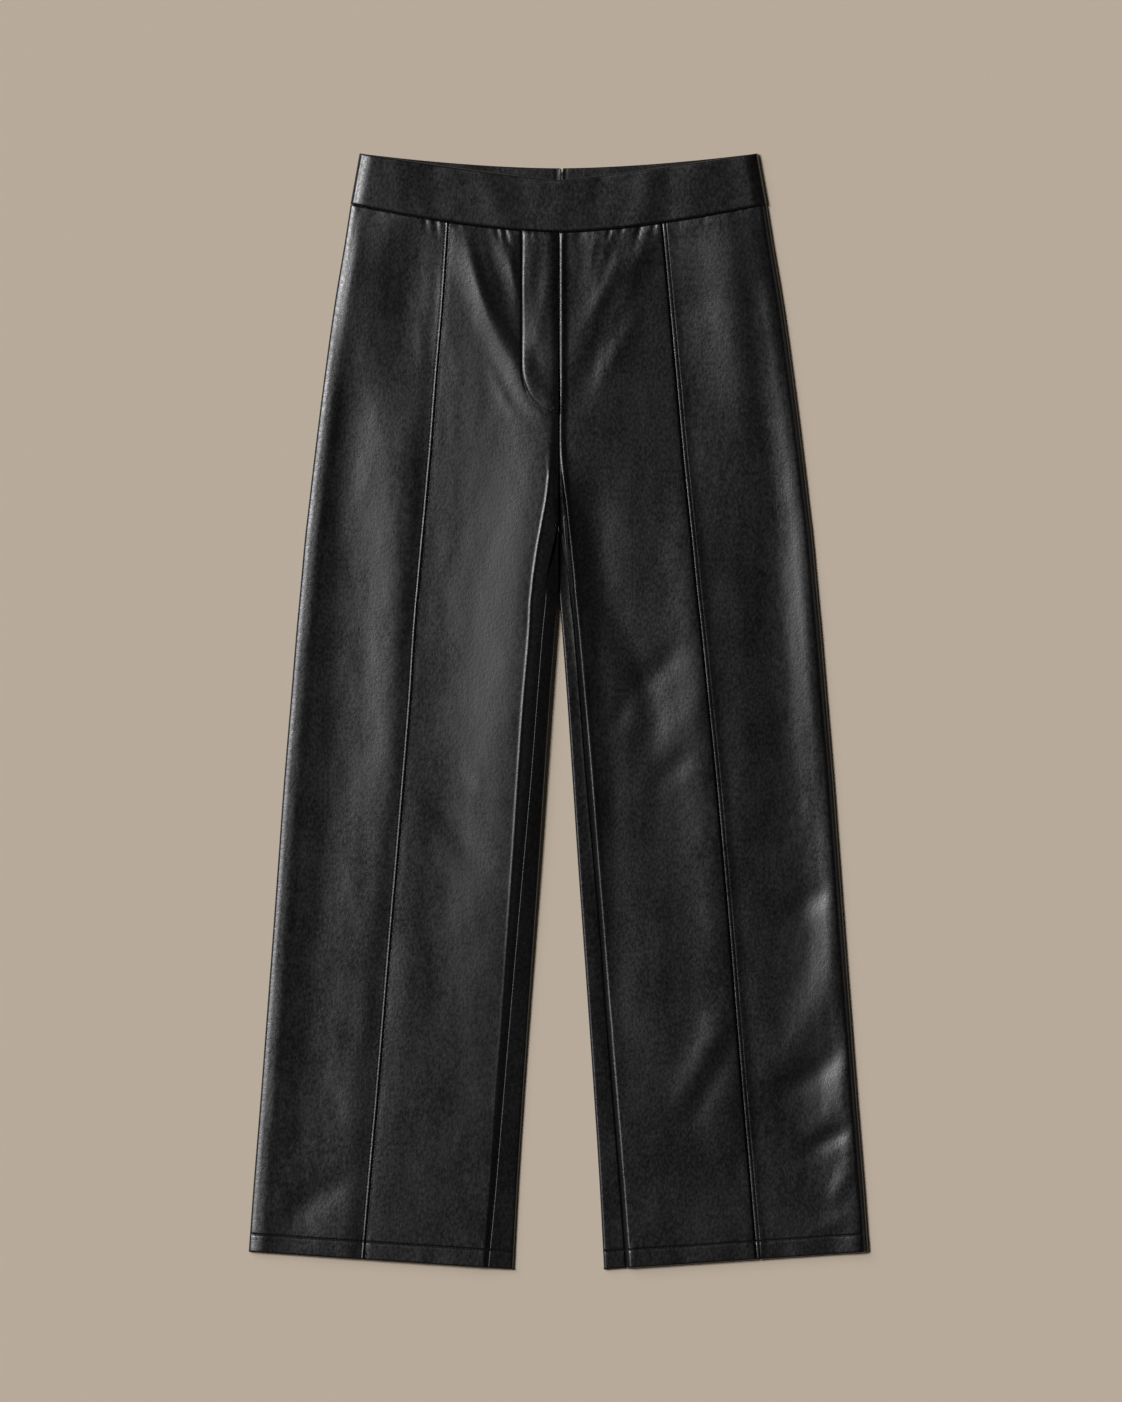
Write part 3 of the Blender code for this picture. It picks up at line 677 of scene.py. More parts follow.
def pucker_relief(table, x, below):
    """Short creases that run down from a seam."""
    relief = np.zeros(np.broadcast(x, below).shape)
    for row in table:
        crease = dict(zip(PUCKER_COLUMNS, row))
        from_line = x - crease["x"] * MM - crease["lean"] * below
        width = crease["width"] * MM * (1 + below / (crease["length"] * MM) * PUCKER_WIDENS)
        fade = np.exp(-(below / (crease["length"] * MM)) ** 2)
        relief -= crease["depth"] * MM * fade * np.exp(-(from_line / np.maximum(width, MM)) ** 2)
    return relief


def small_puckers(seed, count, reach, strength):
    """A seeded table of small uneven creases between -reach and reach."""
    chance = np.random.default_rng(seed)
    return [
        (chance.uniform(-reach, reach), chance.uniform(-0.3, 0.3), chance.uniform(3, 9),
         chance.uniform(1.2, 2.6), strength * chance.uniform(0.3, 1.0))
        for _ in range(count)
    ]


FINE_PUCKERS = small_puckers(seed=5, count=46, reach=190, strength=0.28)


def waist_relief(direction, x, y):
    """The panels' top edge turns down under the band and is puckered by its seam."""
    below = np.maximum(waist_level(x) - y, 0)
    puckers = pucker_relief(list(WAIST_PUCKERS) + FINE_PUCKERS, x * direction, below)
    return puckers - rolled(below, WAIST_EDGE_TURN) - groove(below, *WAIST_DITCH)


print("puckers", len(WAIST_PUCKERS), "clear and", len(FINE_PUCKERS), "faint")

# %% [markdown]
# ## The finished surface
# All that has gone before adds up to one height for any place on the front. Every panel, the
# fly and the stitches ask this one function, so they meet without steps.

# %% Surface
SOFT_COLUMNS = ("height", "wide", "long", "seed")
SOFT_LAYERS = (
    (0.30, 34, 120, 11),
    (0.10, 13, 34, 12),
    (0.05, 6, 19, 13),
)
SOFT_CLEARS_EDGE = (0, 16)


def softness(x, y):
    """Slight unevenness of the open leather, in layers from broad to fine."""
    soft = 0
    for row in SOFT_LAYERS:
        layer = dict(zip(SOFT_COLUMNS, row))
        patches = unevenness(x, y, layer["wide"] * MM, layer["long"] * MM, layer["seed"])
        soft = soft + layer["height"] * patches
    return soft * MM


def surface(side, x, y):
    """Height of the finished upper face of the front and of the wrapped back, in one function."""
    direction = DIRECTION[side]
    from_side = LINES["outer"](y) - x
    from_inner = x - LINES["inner"](y)
    clear = once_above(from_side, *SOFT_CLEARS_EDGE)
    clear = clear * mix(1.0, ease(from_inner / LINES["roll_" + side](y)), valley_depth(y))
    creased = fold_relief(FOLDS[side], x, y) + softness(x * direction, y)
    height = laid_form(side, x, y) + creased * clear
    height = height + leg_seam_relief(side, x, y) + waist_relief(direction, x, y)
    return height + hem_relief(side, x, y)


print("surface near the left knee", round(float(surface("left", 0.09, -0.05)) / MM, 2), "mm")

# %% [markdown]
# ## A sheet of leather
# A piece of leather has a grain side, a flesh side and a cut edge. A grid primitive gives a
# regular mesh with a UV map, its points are laid on the form, and Solidify adds the thickness
# inwards with a closed rim. Near-square edges stay sharp and everything else is smooth. A cloth
# simulation would drape the sheet, but it would lose the sewn lines, which must meet exactly.

# %% Lay a sheet
SHARP_ANGLE = math.radians(55)
HEM_EXTRA_OVER = 1.5 * MM


def read_points(piece):
    """The points of a piece, one row each."""
    points = np.empty(len(piece.data.vertices) * 3)
    piece.data.vertices.foreach_get("co", points)
    return points.reshape(-1, 3)


def write_points(piece, points):
    """Moves the points of a piece to new places."""
    piece.data.vertices.foreach_set("co", points.reshape(-1))
    piece.data.update()


def lay_sheet(name, rows, direction, wall, faces_up=True):
    """A closed thin sheet from a grid of points on its grain side. direction -1 is the left."""
    count, columns = rows.shape[:2]
    bpy.ops.object.select_all(action="DESELECT")
    bpy.ops.mesh.primitive_grid_add(x_subdivisions=columns - 1, y_subdivisions=count - 1)
    sheet = bpy.context.object
    sheet.name = name
    sheet.data.name = name
    write_points(sheet, rows * (direction, 1, 1))
    middle = len(sheet.data.polygons) // 2
    if (sheet.data.polygons[middle].normal.z > 0) != faces_up:
        sheet.data.flip_normals()
    wall_modifier = sheet.modifiers.new("wall", "SOLIDIFY")
    wall_modifier.thickness = wall
    wall_modifier.offset = -1
    bpy.ops.object.modifier_apply(modifier=wall_modifier.name)
    bpy.ops.object.shade_smooth_by_angle(angle=SHARP_ANGLE)
    print(name, len(sheet.data.polygons), "faces")
    return sheet


def turn_up_hem(sheet, shape, rows):
    """Thicken the inner face inwards below the stitched line. Solidify lists it second."""
    count, columns = shape[:2]
    size = count * columns
    points = read_points(sheet)
    outer, inner = points[:2 * size].reshape(2, count, columns, 3)
    inward = inner - outer
    inward /= np.linalg.norm(inward, axis=2, keepdims=True)
    turned = ease((HEM_INNER_Y + HEM_TURN - rows) / HEM_EXTRA_OVER)
    inner += inward * HEM_EXTRA * turned[:, None, None]
    write_points(sheet, points)


pieces = {}


def lay_panels(kind, sheet_name, form, rows, faces_up=True):
    """Lays the left and the right panel of a kind and turns up their hems."""
    for side, direction in DIRECTION.items():
        points = form(side)
        panel = lay_sheet(sheet_name + "_" + side, points, direction, SHELL, faces_up)
        turn_up_hem(panel, points.shape, rows)
        pieces[kind + "_" + side] = panel

# %% [markdown]
# ## Front panels
# Each front leg is two long panels. The outer one runs from the side seam, where it turns round
# the edge of the leg, to the front leg seam. The inner one goes on to the centre front seam
# and, below the crotch, to the inseam, which lies on top near the inner edge of the leg. Each
# is a sheet of its own, as it is cut, so that the seams are real ditches between two edges.

# %% Outer front panels
SIDE_TURNS = np.radians((2, 8, 16, 25, 35, 47, 60, 74))
PAST_TURN = SIDE_RADIUS * 1.15
PAST_RIB = RIB_WIDTH * 1.4
RIB_STATIONS = 17
OUTER_OPEN_STATIONS = 30


def front_outer(side):
    rows = FRONT_ROWS
    edge = where(rows, LINES["outer"])
    seam = where(rows, LINES["seam_" + side]) + HALF_GAP
    turned = SIDE_RADIUS * (1 - np.cos(SIDE_TURNS))
    near_edge = np.concatenate((turned, PAST_TURN + graded(fine=0.8 * MM, growth=1.3, reach=12 * MM)))
    rib = np.linspace(0, PAST_RIB, RIB_STATIONS)
    near_seam = np.concatenate((rib, PAST_RIB + graded(fine=0.5 * MM, growth=1.35, reach=5 * MM)[1:]))
    x = across(edge, seam, near_edge, near_seam, OUTER_OPEN_STATIONS)
    y = row_level(rows[:, None], x)
    return np.stack((x, y, surface(side, x, y)), axis=2)


lay_panels("front_outer", "outer_front_leg", front_outer, FRONT_ROWS)

# %% [markdown]
# ## The print of the fly
# The mock fly is sewn on top of the left inner panel and presses a shallow ditch into it along
# its curved edge. So the panel has to know the fly's outline: straight down, then round in a
# quarter ellipse. A formula for it serves both the ditch and the fly itself.

# %% Outline of the fly
FLY_STRAIGHT_ROWS = 70
FLY_TURNS = np.radians(np.linspace(2, 81, 36))


def fly_outline():
    """Level and width of the fly down its length."""
    straight = np.linspace(FRONT_ROWS[0], FLY_STRAIGHT_END_Y, FLY_STRAIGHT_ROWS)
    bend = FLY_STRAIGHT_END_Y - FLY_BOTTOM_Y
    levels = np.concatenate((straight, FLY_STRAIGHT_END_Y - bend * np.sin(FLY_TURNS)))
    widths = np.concatenate((np.full(FLY_STRAIGHT_ROWS, FLY_WIDTH), FLY_WIDTH * np.cos(FLY_TURNS)))
    return levels, widths


def from_fly_edge(x, y):
    """Distance to the curved outer edge of the fly."""
    levels, widths = fly_outline()
    nearest = np.full(np.broadcast(x, y).shape, np.inf)
    for level, width in zip(levels, widths):
        nearest = np.minimum(nearest, np.hypot(x - width, y - row_level(level, width)))
    beside = np.where((y > FLY_STRAIGHT_END_Y) & (y < FRONT_ROWS[0]), np.abs(x - FLY_WIDTH), np.inf)
    return np.minimum(nearest, beside)


print("fly length", round((FRONT_ROWS[0] - FLY_BOTTOM_Y) / MM), "mm")

# %% [markdown]
# ## Inner front panels
# The inner panel ends at the centre front seam as far as the crotch and at the inseam below it.
# Its crest beside the inner edge of the leg is the sharpest fold of the garment, so a cluster of
# points follows it. Beside the fly the same cluster follows the fly's edge.

# %% Inner front panels
FLY_DITCH = (1.2 * MM, 1.0 * MM)
FLY_DIP = (5 * MM, 0.5 * MM)
CENTRE_TURN = {"left": 1.1 * MM, "right": 1.3 * MM}
CENTRE_DIP = {"left": (4.5 * MM, 1.5 * MM), "right": (3 * MM, 0.2 * MM)}
CENTRE_STARTS = (168, 60)
INSEAM_DITCH = (2.5 * MM, 0.25 * MM)
INSEAM_TIGHTENS = (118, 30)
CREST_OFFSET = 0.5 * MM
CREST_CLUSTER = np.array((-4, -2.8, -2, -1.4, -0.9, -0.45, 0, 0.45, 0.9, 1.4, 2, 2.8, 4)) * MM
CREST_CLUSTER_TOP = (250, 30)
LEAST_STATION_STEP = 0.12 * MM
INNER_OPEN_STATIONS = 26


def inseam_run(side, row):
    """How far round the inner edge of the leg the inseam lies, along the cloth from the edge."""
    radius = inner_radius(side, row)
    run = LINES["inseam_" + side](row) - radius + radius * math.pi / 2
    return np.where(row >= CROTCH_Y, 0.0, run)


def inseam_strength(y):
    """The seam is pulled tight and flat where it dives into the crotch."""
    return once_below(y, *INSEAM_TIGHTENS)


def inner_edge_relief(side, beyond, y):
    """The turned edge of the inner panel at the centre front seam or, lower down, the inseam."""
    centre = -groove(beyond, *CENTRE_DIP[side]) - rolled(beyond, CENTRE_TURN[side])
    inseam = -rolled(beyond, PANEL_TURN) - groove(beyond, *INSEAM_DITCH)
    return mix(inseam * inseam_strength(y), centre, once_above(y, *CENTRE_STARTS))


def crest_stations(side, rows, near_end):
    """Stations from the inner end of each row, close together at the crest or the fly's edge."""
    inseam_at = np.maximum(LINES["inseam_" + side](rows), 0)
    crest_at = LINES["roll_" + side](rows) - inseam_at + CREST_OFFSET
    middle = mix(FLY_WIDTH, crest_at, once_below(rows, *CREST_CLUSTER_TOP))
    cluster = np.abs(middle[:, None] + CREST_CLUSTER[None, :])
    stations = np.hstack((np.repeat(near_end[None, :], len(rows), axis=0), cluster))
    stations = np.sort(stations, axis=1)
    steps = np.maximum(np.diff(stations, axis=1), LEAST_STATION_STEP)
    return np.hstack((stations[:, :1], stations[:, :1] + np.cumsum(steps, axis=1)))


def front_inner(side):
    rows = FRONT_ROWS
    seam = where(rows, LINES["seam_" + side]) - HALF_GAP
    inner = where(rows, LINES["inner"])
    end = inner + edge_distance(inseam_run(side, rows) + HALF_GAP, inner_radius(side, rows))
    near_seam = graded(fine=0.14 * MM, growth=1.3, reach=9 * MM)
    near_end = graded(fine=0.10 * MM, growth=1.22, reach=22 * MM)
    x = across(seam, end, near_seam, crest_stations(side, rows, near_end), INNER_OPEN_STATIONS)
    y = row_level(rows[:, None], x)
    z = surface(side, x, y) + inner_edge_relief(side, x - end[:, None], y)
    if side == "left":
        beside = from_fly_edge(x, y)
        z = z - groove(beside, *FLY_DITCH) - groove(beside, *FLY_DIP)
    return np.stack((x, y, z), axis=2)


lay_panels("front_inner", "inner_front_leg", front_inner, FRONT_ROWS)

# %% [markdown]
# ## Back panels
# A back panel runs from the side seam under the leg, where it lies flat on the floor, round the
# inner edge of the leg and up to the inseam. The strip beside the inseam shows from above.
# The stations are lengths along the cloth, so the strip turns the edge without a crease.

# %% Back panels
SIDE_BACK_TURNS = (2, 10, 20, 32, 46, 60, 75, 90)
SEAT_STEPS = 2.4 * MM * np.arange(7, -1, -1)
SEAT_ENDS = (60, 40)
UNDER_STEPS = np.array((5.0, 2.5, 0.0)) * MM
TURNING_SHARES = np.array((0.75, 0.5, 0.3, 0.14))
WRAPPED_SHARES = np.array((1.0, 0.62, 0.3, 0.0, -0.4, -0.85))
WRAP_WIDENS_OVER = 12 * MM
WRAP_STATIONS = 44
CROWDING = 1.5
UNDER_STATIONS = 40
BACK_FOLDS_CLEAR = (8, 22)


def crowded(count):
    """Shares from 0 to 1 that lie closer together towards 1."""
    return 1 - (1 - np.linspace(0, 1, count)) ** CROWDING


def turned_stations(edge, radius, turns, rise):
    """Distances and heights round a side edge. rise is 1 over the edge and -1 under it."""
    turns = np.radians(turns)[None, :]
    heights = radius * (1 + rise * np.sin(turns))
    return edge - radius * (1 - np.cos(turns)), np.repeat(heights, len(edge), axis=0)


def back_runs(end, quarter, above):
    """Stations along the cloth about the inner edge: below zero under it, above zero over it."""
    seat = end[:, None] - SEAT_STEPS
    under = -quarter[:, None] - UNDER_STEPS
    turning = -quarter[:, None] * TURNING_SHARES
    corner = np.hstack((under, turning, np.full((len(end), 1), -HALF_GAP)))
    runs = mix(seat, corner, once_below(above, *SEAT_ENDS)[:, None])
    wrapped = -quarter[:, None] * WRAPPED_SHARES
    wrapped = np.hstack((wrapped, (wrapped[:, -1:] + end[:, None]) / 2, end[:, None]))
    return mix(runs, wrapped, np.clip(end / WRAP_WIDENS_OVER, 0, 1)[:, None])


def back_panel(side):
    rows = BACK_ROWS
    edge = where(rows, LINES["outer"])
    inner = where(rows, LINES["inner"])
    radius = inner_radius(side, rows)
    above = rows - CROTCH_Y
    coarse = back_runs(inseam_run(side, rows) - HALF_GAP, radius * math.pi / 2, above)
    last = coarse.shape[1] - 1
    runs = np.array([np.interp(last * crowded(WRAP_STATIONS), np.arange(last + 1), row) for row in coarse])
    turned_x, turned_z = turned_stations(edge[:, None], SIDE_RADIUS, SIDE_BACK_TURNS, rise=-1)
    first = inner + edge_distance(-runs[:, 0], radius)
    shares = np.linspace(0, 1, UNDER_STATIONS)[None, 1:-1]
    under_x = turned_x[:, -1:] + (first[:, None] - turned_x[:, -1:]) * shares
    distance = edge_distance(np.abs(runs), radius[:, None])
    wrap_x = inner[:, None] + distance
    wrap_y = row_level(rows[:, None], wrap_x)
    turned = rolled(runs[:, -1:] - runs, PANEL_TURN) * inseam_strength(wrap_y)
    over = surface(side, wrap_x, wrap_y) - turned
    lifted = ease(1 - above / SEAT_LIFT)[:, None]
    beneath = (radius[:, None] - round_edge(distance, radius[:, None])) * lifted
    x = np.hstack((turned_x, under_x, wrap_x))
    y = row_level(rows[:, None], x)
    under_y = y[:, turned_x.shape[1]:-wrap_x.shape[1]]
    from_edge = np.minimum(edge[:, None] - under_x, under_x - inner[:, None])
    creased = fold_relief(BACK_FOLDS[side], under_x, under_y) * once_above(from_edge, *BACK_FOLDS_CLEAR)
    z = np.hstack((turned_z, creased, np.where(runs < 0, beneath, over)))
    return np.stack((x, y, z), axis=2)


lay_panels("back", "back_leg", back_panel, BACK_ROWS, faces_up=False)

# %% [markdown]
# ## Waistband
# The band is two layers of leather with stiffening between them, so it lies smoother than the
# legs and only rolls in slow upright waves. It is cut on a curve, so its top edge dips at the
# front. Rows of points bent to that curve follow the cut better than a bent strip would.

# %% Front waistband
BAND_EDGE_TURN = 2.0 * MM
BAND_EDGE_SHARE = 0.8
BAND_TURNS = (3, 12, 22, 34, 46, 60, 75, 90)
BAND_SWELL = 10 * MM
BAND_SWELL_STATIONS = 9
BAND_OPEN_ROWS = 14
BAND_OPEN_STATIONS = 122
BAND_FRONT_CURVE = 1.15
BAND_WAVES_CLEAR = (0, 30)
BAND_EDGES_CLEAR = (0, 5)
BAND_UNEVENNESS = 0.12 * MM
BAND_STRETCH = 0.2
BAND_WAVE_COLUMNS = ("x_top", "x_bottom", "spread", "height")
BAND_WAVES = (
    (-172, -168, 9, 0.2),
    (-146, -150, 12, 0.25),
    (-118, -112, 10, -0.3),
    (-70, -52, 12, 0.5),
    (-34, -30, 10, -0.35),
    (4, -2, 10, 0.3),
    (40, 34, 12, -0.35),
    (84, 74, 11, 0.45),
    (104, 100, 9, -0.3),
    (132, 122, 12, 0.35),
    (164, 160, 12, -0.25),
)


def band_half_width(height):
    return mix(BAND_BOTTOM_HALF, BAND_TOP_HALF, height)


def band_level(x, height, dip, power):
    """A point on the waistband: its lower edge follows the waist seam, its top edge dips."""
    share = np.minimum(np.abs(x) / band_half_width(height), 1.0)
    seam = mix(WAIST_SEAM_CENTRE_Y, WAIST_SEAM_SIDE_Y, share ** WAIST_CURVE)
    return mix(seam, TOP_Y - dip * (1 - share ** power), height)


def band_waves(x, height):
    relief = BAND_UNEVENNESS * unevenness(x, height * BAND_STRETCH, wide=14 * MM, long=0.05, seed=21)
    for row in BAND_WAVES:
        wave = dict(zip(BAND_WAVE_COLUMNS, row))
        line = mix(wave["x_bottom"], wave["x_top"], height) * MM
        relief = relief + wave["height"] * MM * np.exp(-((x - line) / (wave["spread"] * MM)) ** 2)
    return relief


def band_front():
    near = graded(fine=0.010, growth=1.35, reach=0.12)
    middle = np.linspace(near[-1], 1 - near[-1], BAND_OPEN_ROWS)[1:-1]
    heights = np.concatenate((near, middle, 1 - near[::-1]))
    half = band_half_width(heights)[:, None]
    turned_x, turned_z = turned_stations(half, BAND_RADIUS, BAND_TURNS, rise=1)
    swell = np.linspace(0, 1, BAND_SWELL_STATIONS)[None, 1:]
    swell_x = turned_x[:, -1:] - swell * BAND_SWELL
    swell_z = np.repeat(mix(2 * BAND_RADIUS, BAND_LOFT, 1 - (1 - swell) ** 2), len(heights), axis=0)
    inner_x = swell_x[:, -1:] * np.linspace(1, -1, BAND_OPEN_STATIONS)[None, 1:-1]
    inner_z = np.full(inner_x.shape, BAND_LOFT)
    x = np.hstack((turned_x, swell_x, inner_x, -swell_x[:, ::-1], -turned_x[:, ::-1]))
    z = np.hstack((turned_z, swell_z, inner_z, swell_z[:, ::-1], turned_z[:, ::-1]))
    height = heights[:, None] + 0 * x
    y = band_level(x, height, BAND_FRONT_DIP, BAND_FRONT_CURVE)
    depth = y[-1:] - y[:1]
    from_end = half - np.abs(x)
    edges = rolled(height * depth, BAND_EDGE_TURN) + rolled((1 - height) * depth, BAND_EDGE_TURN)
    z = z + band_waves(x, height) * once_above(from_end, *BAND_WAVES_CLEAR)
    z = z - edges * once_above(from_end, *BAND_EDGES_CLEAR) * BAND_EDGE_SHARE
    return np.stack((x, y, z), axis=2)


pieces["waistband_front"] = lay_sheet("front_waistband", band_front(), 1, BAND_SHELL)

# %% [markdown]
# ## Back of the waistband
# Above the front's dip shows the inside of the back band. Its two halves meet in a seam pressed
# open, with a small notch at the top. Each half lies flat on the floor, so only its inner face,
# which is the one that shows, gets waves and the ridges of the seam.

# %% Back waistband halves
BAND_BACK_CURVE = 1.7
BAND_BACK_STATIONS = 60
BAND_FINE_FROM = 0.9
BAND_LOWER_HEIGHTS = np.linspace(0, BAND_FINE_FROM, 19)
BAND_UPPER_SHARES = 1 - np.linspace(1, 0, 9)[1:] ** 1.6
NOTCH_STARTS = 0.86
BACK_WAVES_SHIFT = 30 * MM
BACK_WAVES_SHARE = 0.5
BACK_WAVES_CLEAR = (0, 30)
BACK_ENDS_FLAT = (170, 30)
PRESSED_RIDGE = {"at": 0.9 * MM, "width": 0.6 * MM, "height": 0.2 * MM}
PRESSED_DITCH = {"at": 4.2 * MM, "width": 1.2 * MM, "depth": 0.25 * MM}
BACK_TOP_TURN = 1.2 * MM
BACK_TOP_SHARE = 0.7


def band_back(direction):
    heights = np.concatenate((BAND_LOWER_HEIGHTS, mix(BAND_FINE_FROM, 1.0, BAND_UPPER_SHARES)))
    half = band_half_width(heights)[:, None]
    notch = BACK_NOTCH * ease((heights - NOTCH_STARTS) / (1 - NOTCH_STARTS))[:, None]
    end = BACK_SEAM_X * direction + HALF_GAP + notch
    turned_x, turned_z = turned_stations(half, BAND_RADIUS, BAND_TURNS, rise=-1)
    inner_x = turned_x[:, -1:] + (end - turned_x[:, -1:]) * crowded(BAND_BACK_STATIONS)[None, 1:]
    x = np.hstack((turned_x, inner_x))
    z = np.hstack((turned_z, np.zeros(inner_x.shape)))
    y = band_level(x, heights[:, None] + 0 * x, BAND_BACK_DIP, BAND_BACK_CURVE)
    return np.stack((x, y, z), axis=2)


def soften_inside(sheet, shape):
    """The inside of the back band: waves, a rolled top edge and a pressed seam at its centre."""
    count, columns = shape[:2]
    size = count * columns
    points = read_points(sheet)
    inner = points[size:2 * size]
    from_seam = np.abs(inner[:, 0] - BACK_SEAM_X)
    top = points[:size].reshape(count, columns, 3)[-1, :, 1]
    from_top = np.maximum(np.tile(top, count) - inner[:, 1], 0)
    waves = band_waves(inner[:, 0] + BACK_WAVES_SHIFT, np.full(size, 0.5)) * BACK_WAVES_SHARE
    ridge = groove(from_seam - PRESSED_RIDGE["at"], PRESSED_RIDGE["width"], PRESSED_RIDGE["height"])
    ditch = groove(from_seam - PRESSED_DITCH["at"], PRESSED_DITCH["width"], PRESSED_DITCH["depth"])
    relief = waves * once_above(from_seam, *BACK_WAVES_CLEAR) + ridge - ditch
    relief = relief - rolled(from_top, BACK_TOP_TURN) * BACK_TOP_SHARE
    inner[:, 2] += relief * once_below(np.abs(inner[:, 0]), *BACK_ENDS_FLAT)
    write_points(sheet, points)


for side, direction in DIRECTION.items():
    points = band_back(direction)
    half_band = lay_sheet("back_waistband_" + side, points, direction, BAND_SHELL, faces_up=False)
    soften_inside(half_band, points.shape)
    pieces["waistband_back_" + side] = half_band

# %% [markdown]
# ## Mock fly
# The fly doesn't open. It is a J-shaped piece of leather sewn over the left inner panel, and its
# edge stands up enough to catch the light. It is laid on the panel's own surface and lifted, so
# that it follows every fold below it without a gap.

# %% Fly
FLY_LIP = (1.3 * MM, 0.55 * MM)
FLY_EDGE_TURN = 0.5 * MM
FLY_CENTRE_DIP = (4 * MM, 0.9 * MM)
FLY_CENTRE_TURN = 0.8 * MM
FLY_CENTRE_GAP = 0.1 * MM
FLY_PUFF = 0.4
FLY_UNEVENNESS = 0.35
FLY_STATIONS = 44
FLY_CROWDING = 0.7


def fly_surface(x, y):
    """Upper face of the fly: the panel below it, lifted and a little puffed."""
    puff = FLY_UNEVENNESS * unevenness(x, y, wide=9 * MM, long=40 * MM, seed=41)
    puff = puff + FLY_PUFF * np.sin(np.pi * x / FLY_WIDTH)
    return surface("left", x, y) + LIFT_ON_PANEL + FLY_SHELL + puff * MM


def fly():
    levels, widths = fly_outline()
    start = HALF_GAP + FLY_CENTRE_GAP
    share = np.linspace(0, 1, FLY_STATIONS)
    share = mix(share, np.sin(share * math.pi / 2), FLY_CROWDING)[::-1]
    x = start + (widths - start)[:, None] * share[None, :]
    y = row_level(levels[:, None], x)
    inset = from_fly_edge(x, y)
    lip = groove(inset, *FLY_LIP) + rolled(inset, FLY_EDGE_TURN)
    centre = groove(x - start, *FLY_CENTRE_DIP) + rolled(x - start, FLY_CENTRE_TURN)
    return np.stack((x, y, fly_surface(x, y) - lip - centre), axis=2)


pieces["fly"] = lay_sheet("mock_fly", fly(), -1, FLY_SHELL)

# %% [markdown]
# ## Stitches
# The thread is black too, but each stitch is a small glossy bead that breaks up the seam lines.
# A line of stitches could be a bump pattern, but real beads throw real shadows. One stitch is
# modelled as a short rounded rod and copied along the line, and a line's copies share a mesh.

# %% One stitch
STITCH_PITCH = 3.3 * MM
STITCH_LENGTH = 2.5 * MM
THREAD_RADIUS = 0.27 * MM
THREAD_SIDES = 6
THREAD_RINGS = 5


def one_stitch():
    """Points and faces of a short rounded rod along X."""
    bpy.ops.object.select_all(action="DESELECT")
    bpy.ops.mesh.primitive_uv_sphere_add(
        segments=THREAD_SIDES, ring_count=THREAD_RINGS, radius=THREAD_RADIUS)
    rod = bpy.context.object
    points = np.array([tuple(v.co) for v in rod.data.vertices])
    points = points[:, (2, 1, 0)] * (1, 1, -1)
    points[:, 0] += np.sign(points[:, 0]) * (STITCH_LENGTH / 2 - THREAD_RADIUS)
    faces = [tuple(p.vertices) for p in rod.data.polygons]
    bpy.data.objects.remove(rod, do_unlink=True)
    return points, faces


ROD_POINTS, ROD_FACES = one_stitch()
print("one stitch has", len(ROD_FACES), "faces")


def add_object(name, data):
    """Puts a new object with this data into the scene."""
    made = bpy.data.objects.new(name, data)
    bpy.context.scene.collection.objects.link(made)
    return made


def stitch_line(name, path):
    """Stitches set along a line of points, joined into one object."""
    steps = np.linalg.norm(np.diff(path, axis=0), axis=1)
    run = np.concatenate(((0,), np.cumsum(steps)))
    places = np.arange(STITCH_PITCH / 2, run[-1], STITCH_PITCH)
    ends = [np.stack([np.interp(places + half, run, path[:, k]) for k in range(3)], axis=1)
            for half in (-STITCH_LENGTH / 2, STITCH_LENGTH / 2)]
    points, faces = [], []
    for start, end in zip(*ends):
        along = (end - start) / np.linalg.norm(end - start)
        beside = np.cross((0, 0, 1), along)
        beside /= np.linalg.norm(beside)
        axes = np.stack((along, beside, np.cross(along, beside)))
        first = len(points) * len(ROD_POINTS)
        points.append(ROD_POINTS @ axes + (start + end) / 2)
        faces += [tuple(first + corner for corner in face) for face in ROD_FACES]
    mesh = bpy.data.meshes.new(name)
    mesh.from_pydata(np.concatenate(points).tolist(), [], faces)
    mesh.shade_smooth()
    print(name, len(points), "stitches")
    return add_object(name, mesh)

# %% [markdown]
# ## Where the stitches run
# Stitches hold the hems, the folded ribs beside the leg seams and the curve of the fly. Four
# short rows across the foot of the fly are a bar tack, which takes the strain there. Each line
# is worked out on the finished surface, so the thread follows its folds.

# %% Stitch the hems, the ribs and the fly
HEM_STITCHES = {"from_side": 4 * MM, "from_inner": 3 * MM, "points": 200, "lift": 0.05 * MM}
RIB_TOP_Y = WAIST_SEAM_CENTRE_Y + 9 * MM
RIB_STITCHES = {"from_waist": 3 * MM, "from_hem": 12 * MM, "points": 700, "sink": 0.1 * MM}
FLY_STITCHES = {"inset": 3.4 * MM, "skipped": 2, "sink": 0.25 * MM}
BAR_TACK = {"x": (3.0 * MM, 7.4 * MM), "y": (284.0 * MM, 281.2 * MM), "rows": 4, "pitch": 0.55 * MM}
BAR_TACK_POINTS = 8
threads = []


def on_front(side, x, y, sink):
    """Points just in the surface of the front, in world coordinates."""
    return np.stack((x * DIRECTION[side], y, surface(side, x, y) - sink), axis=1)


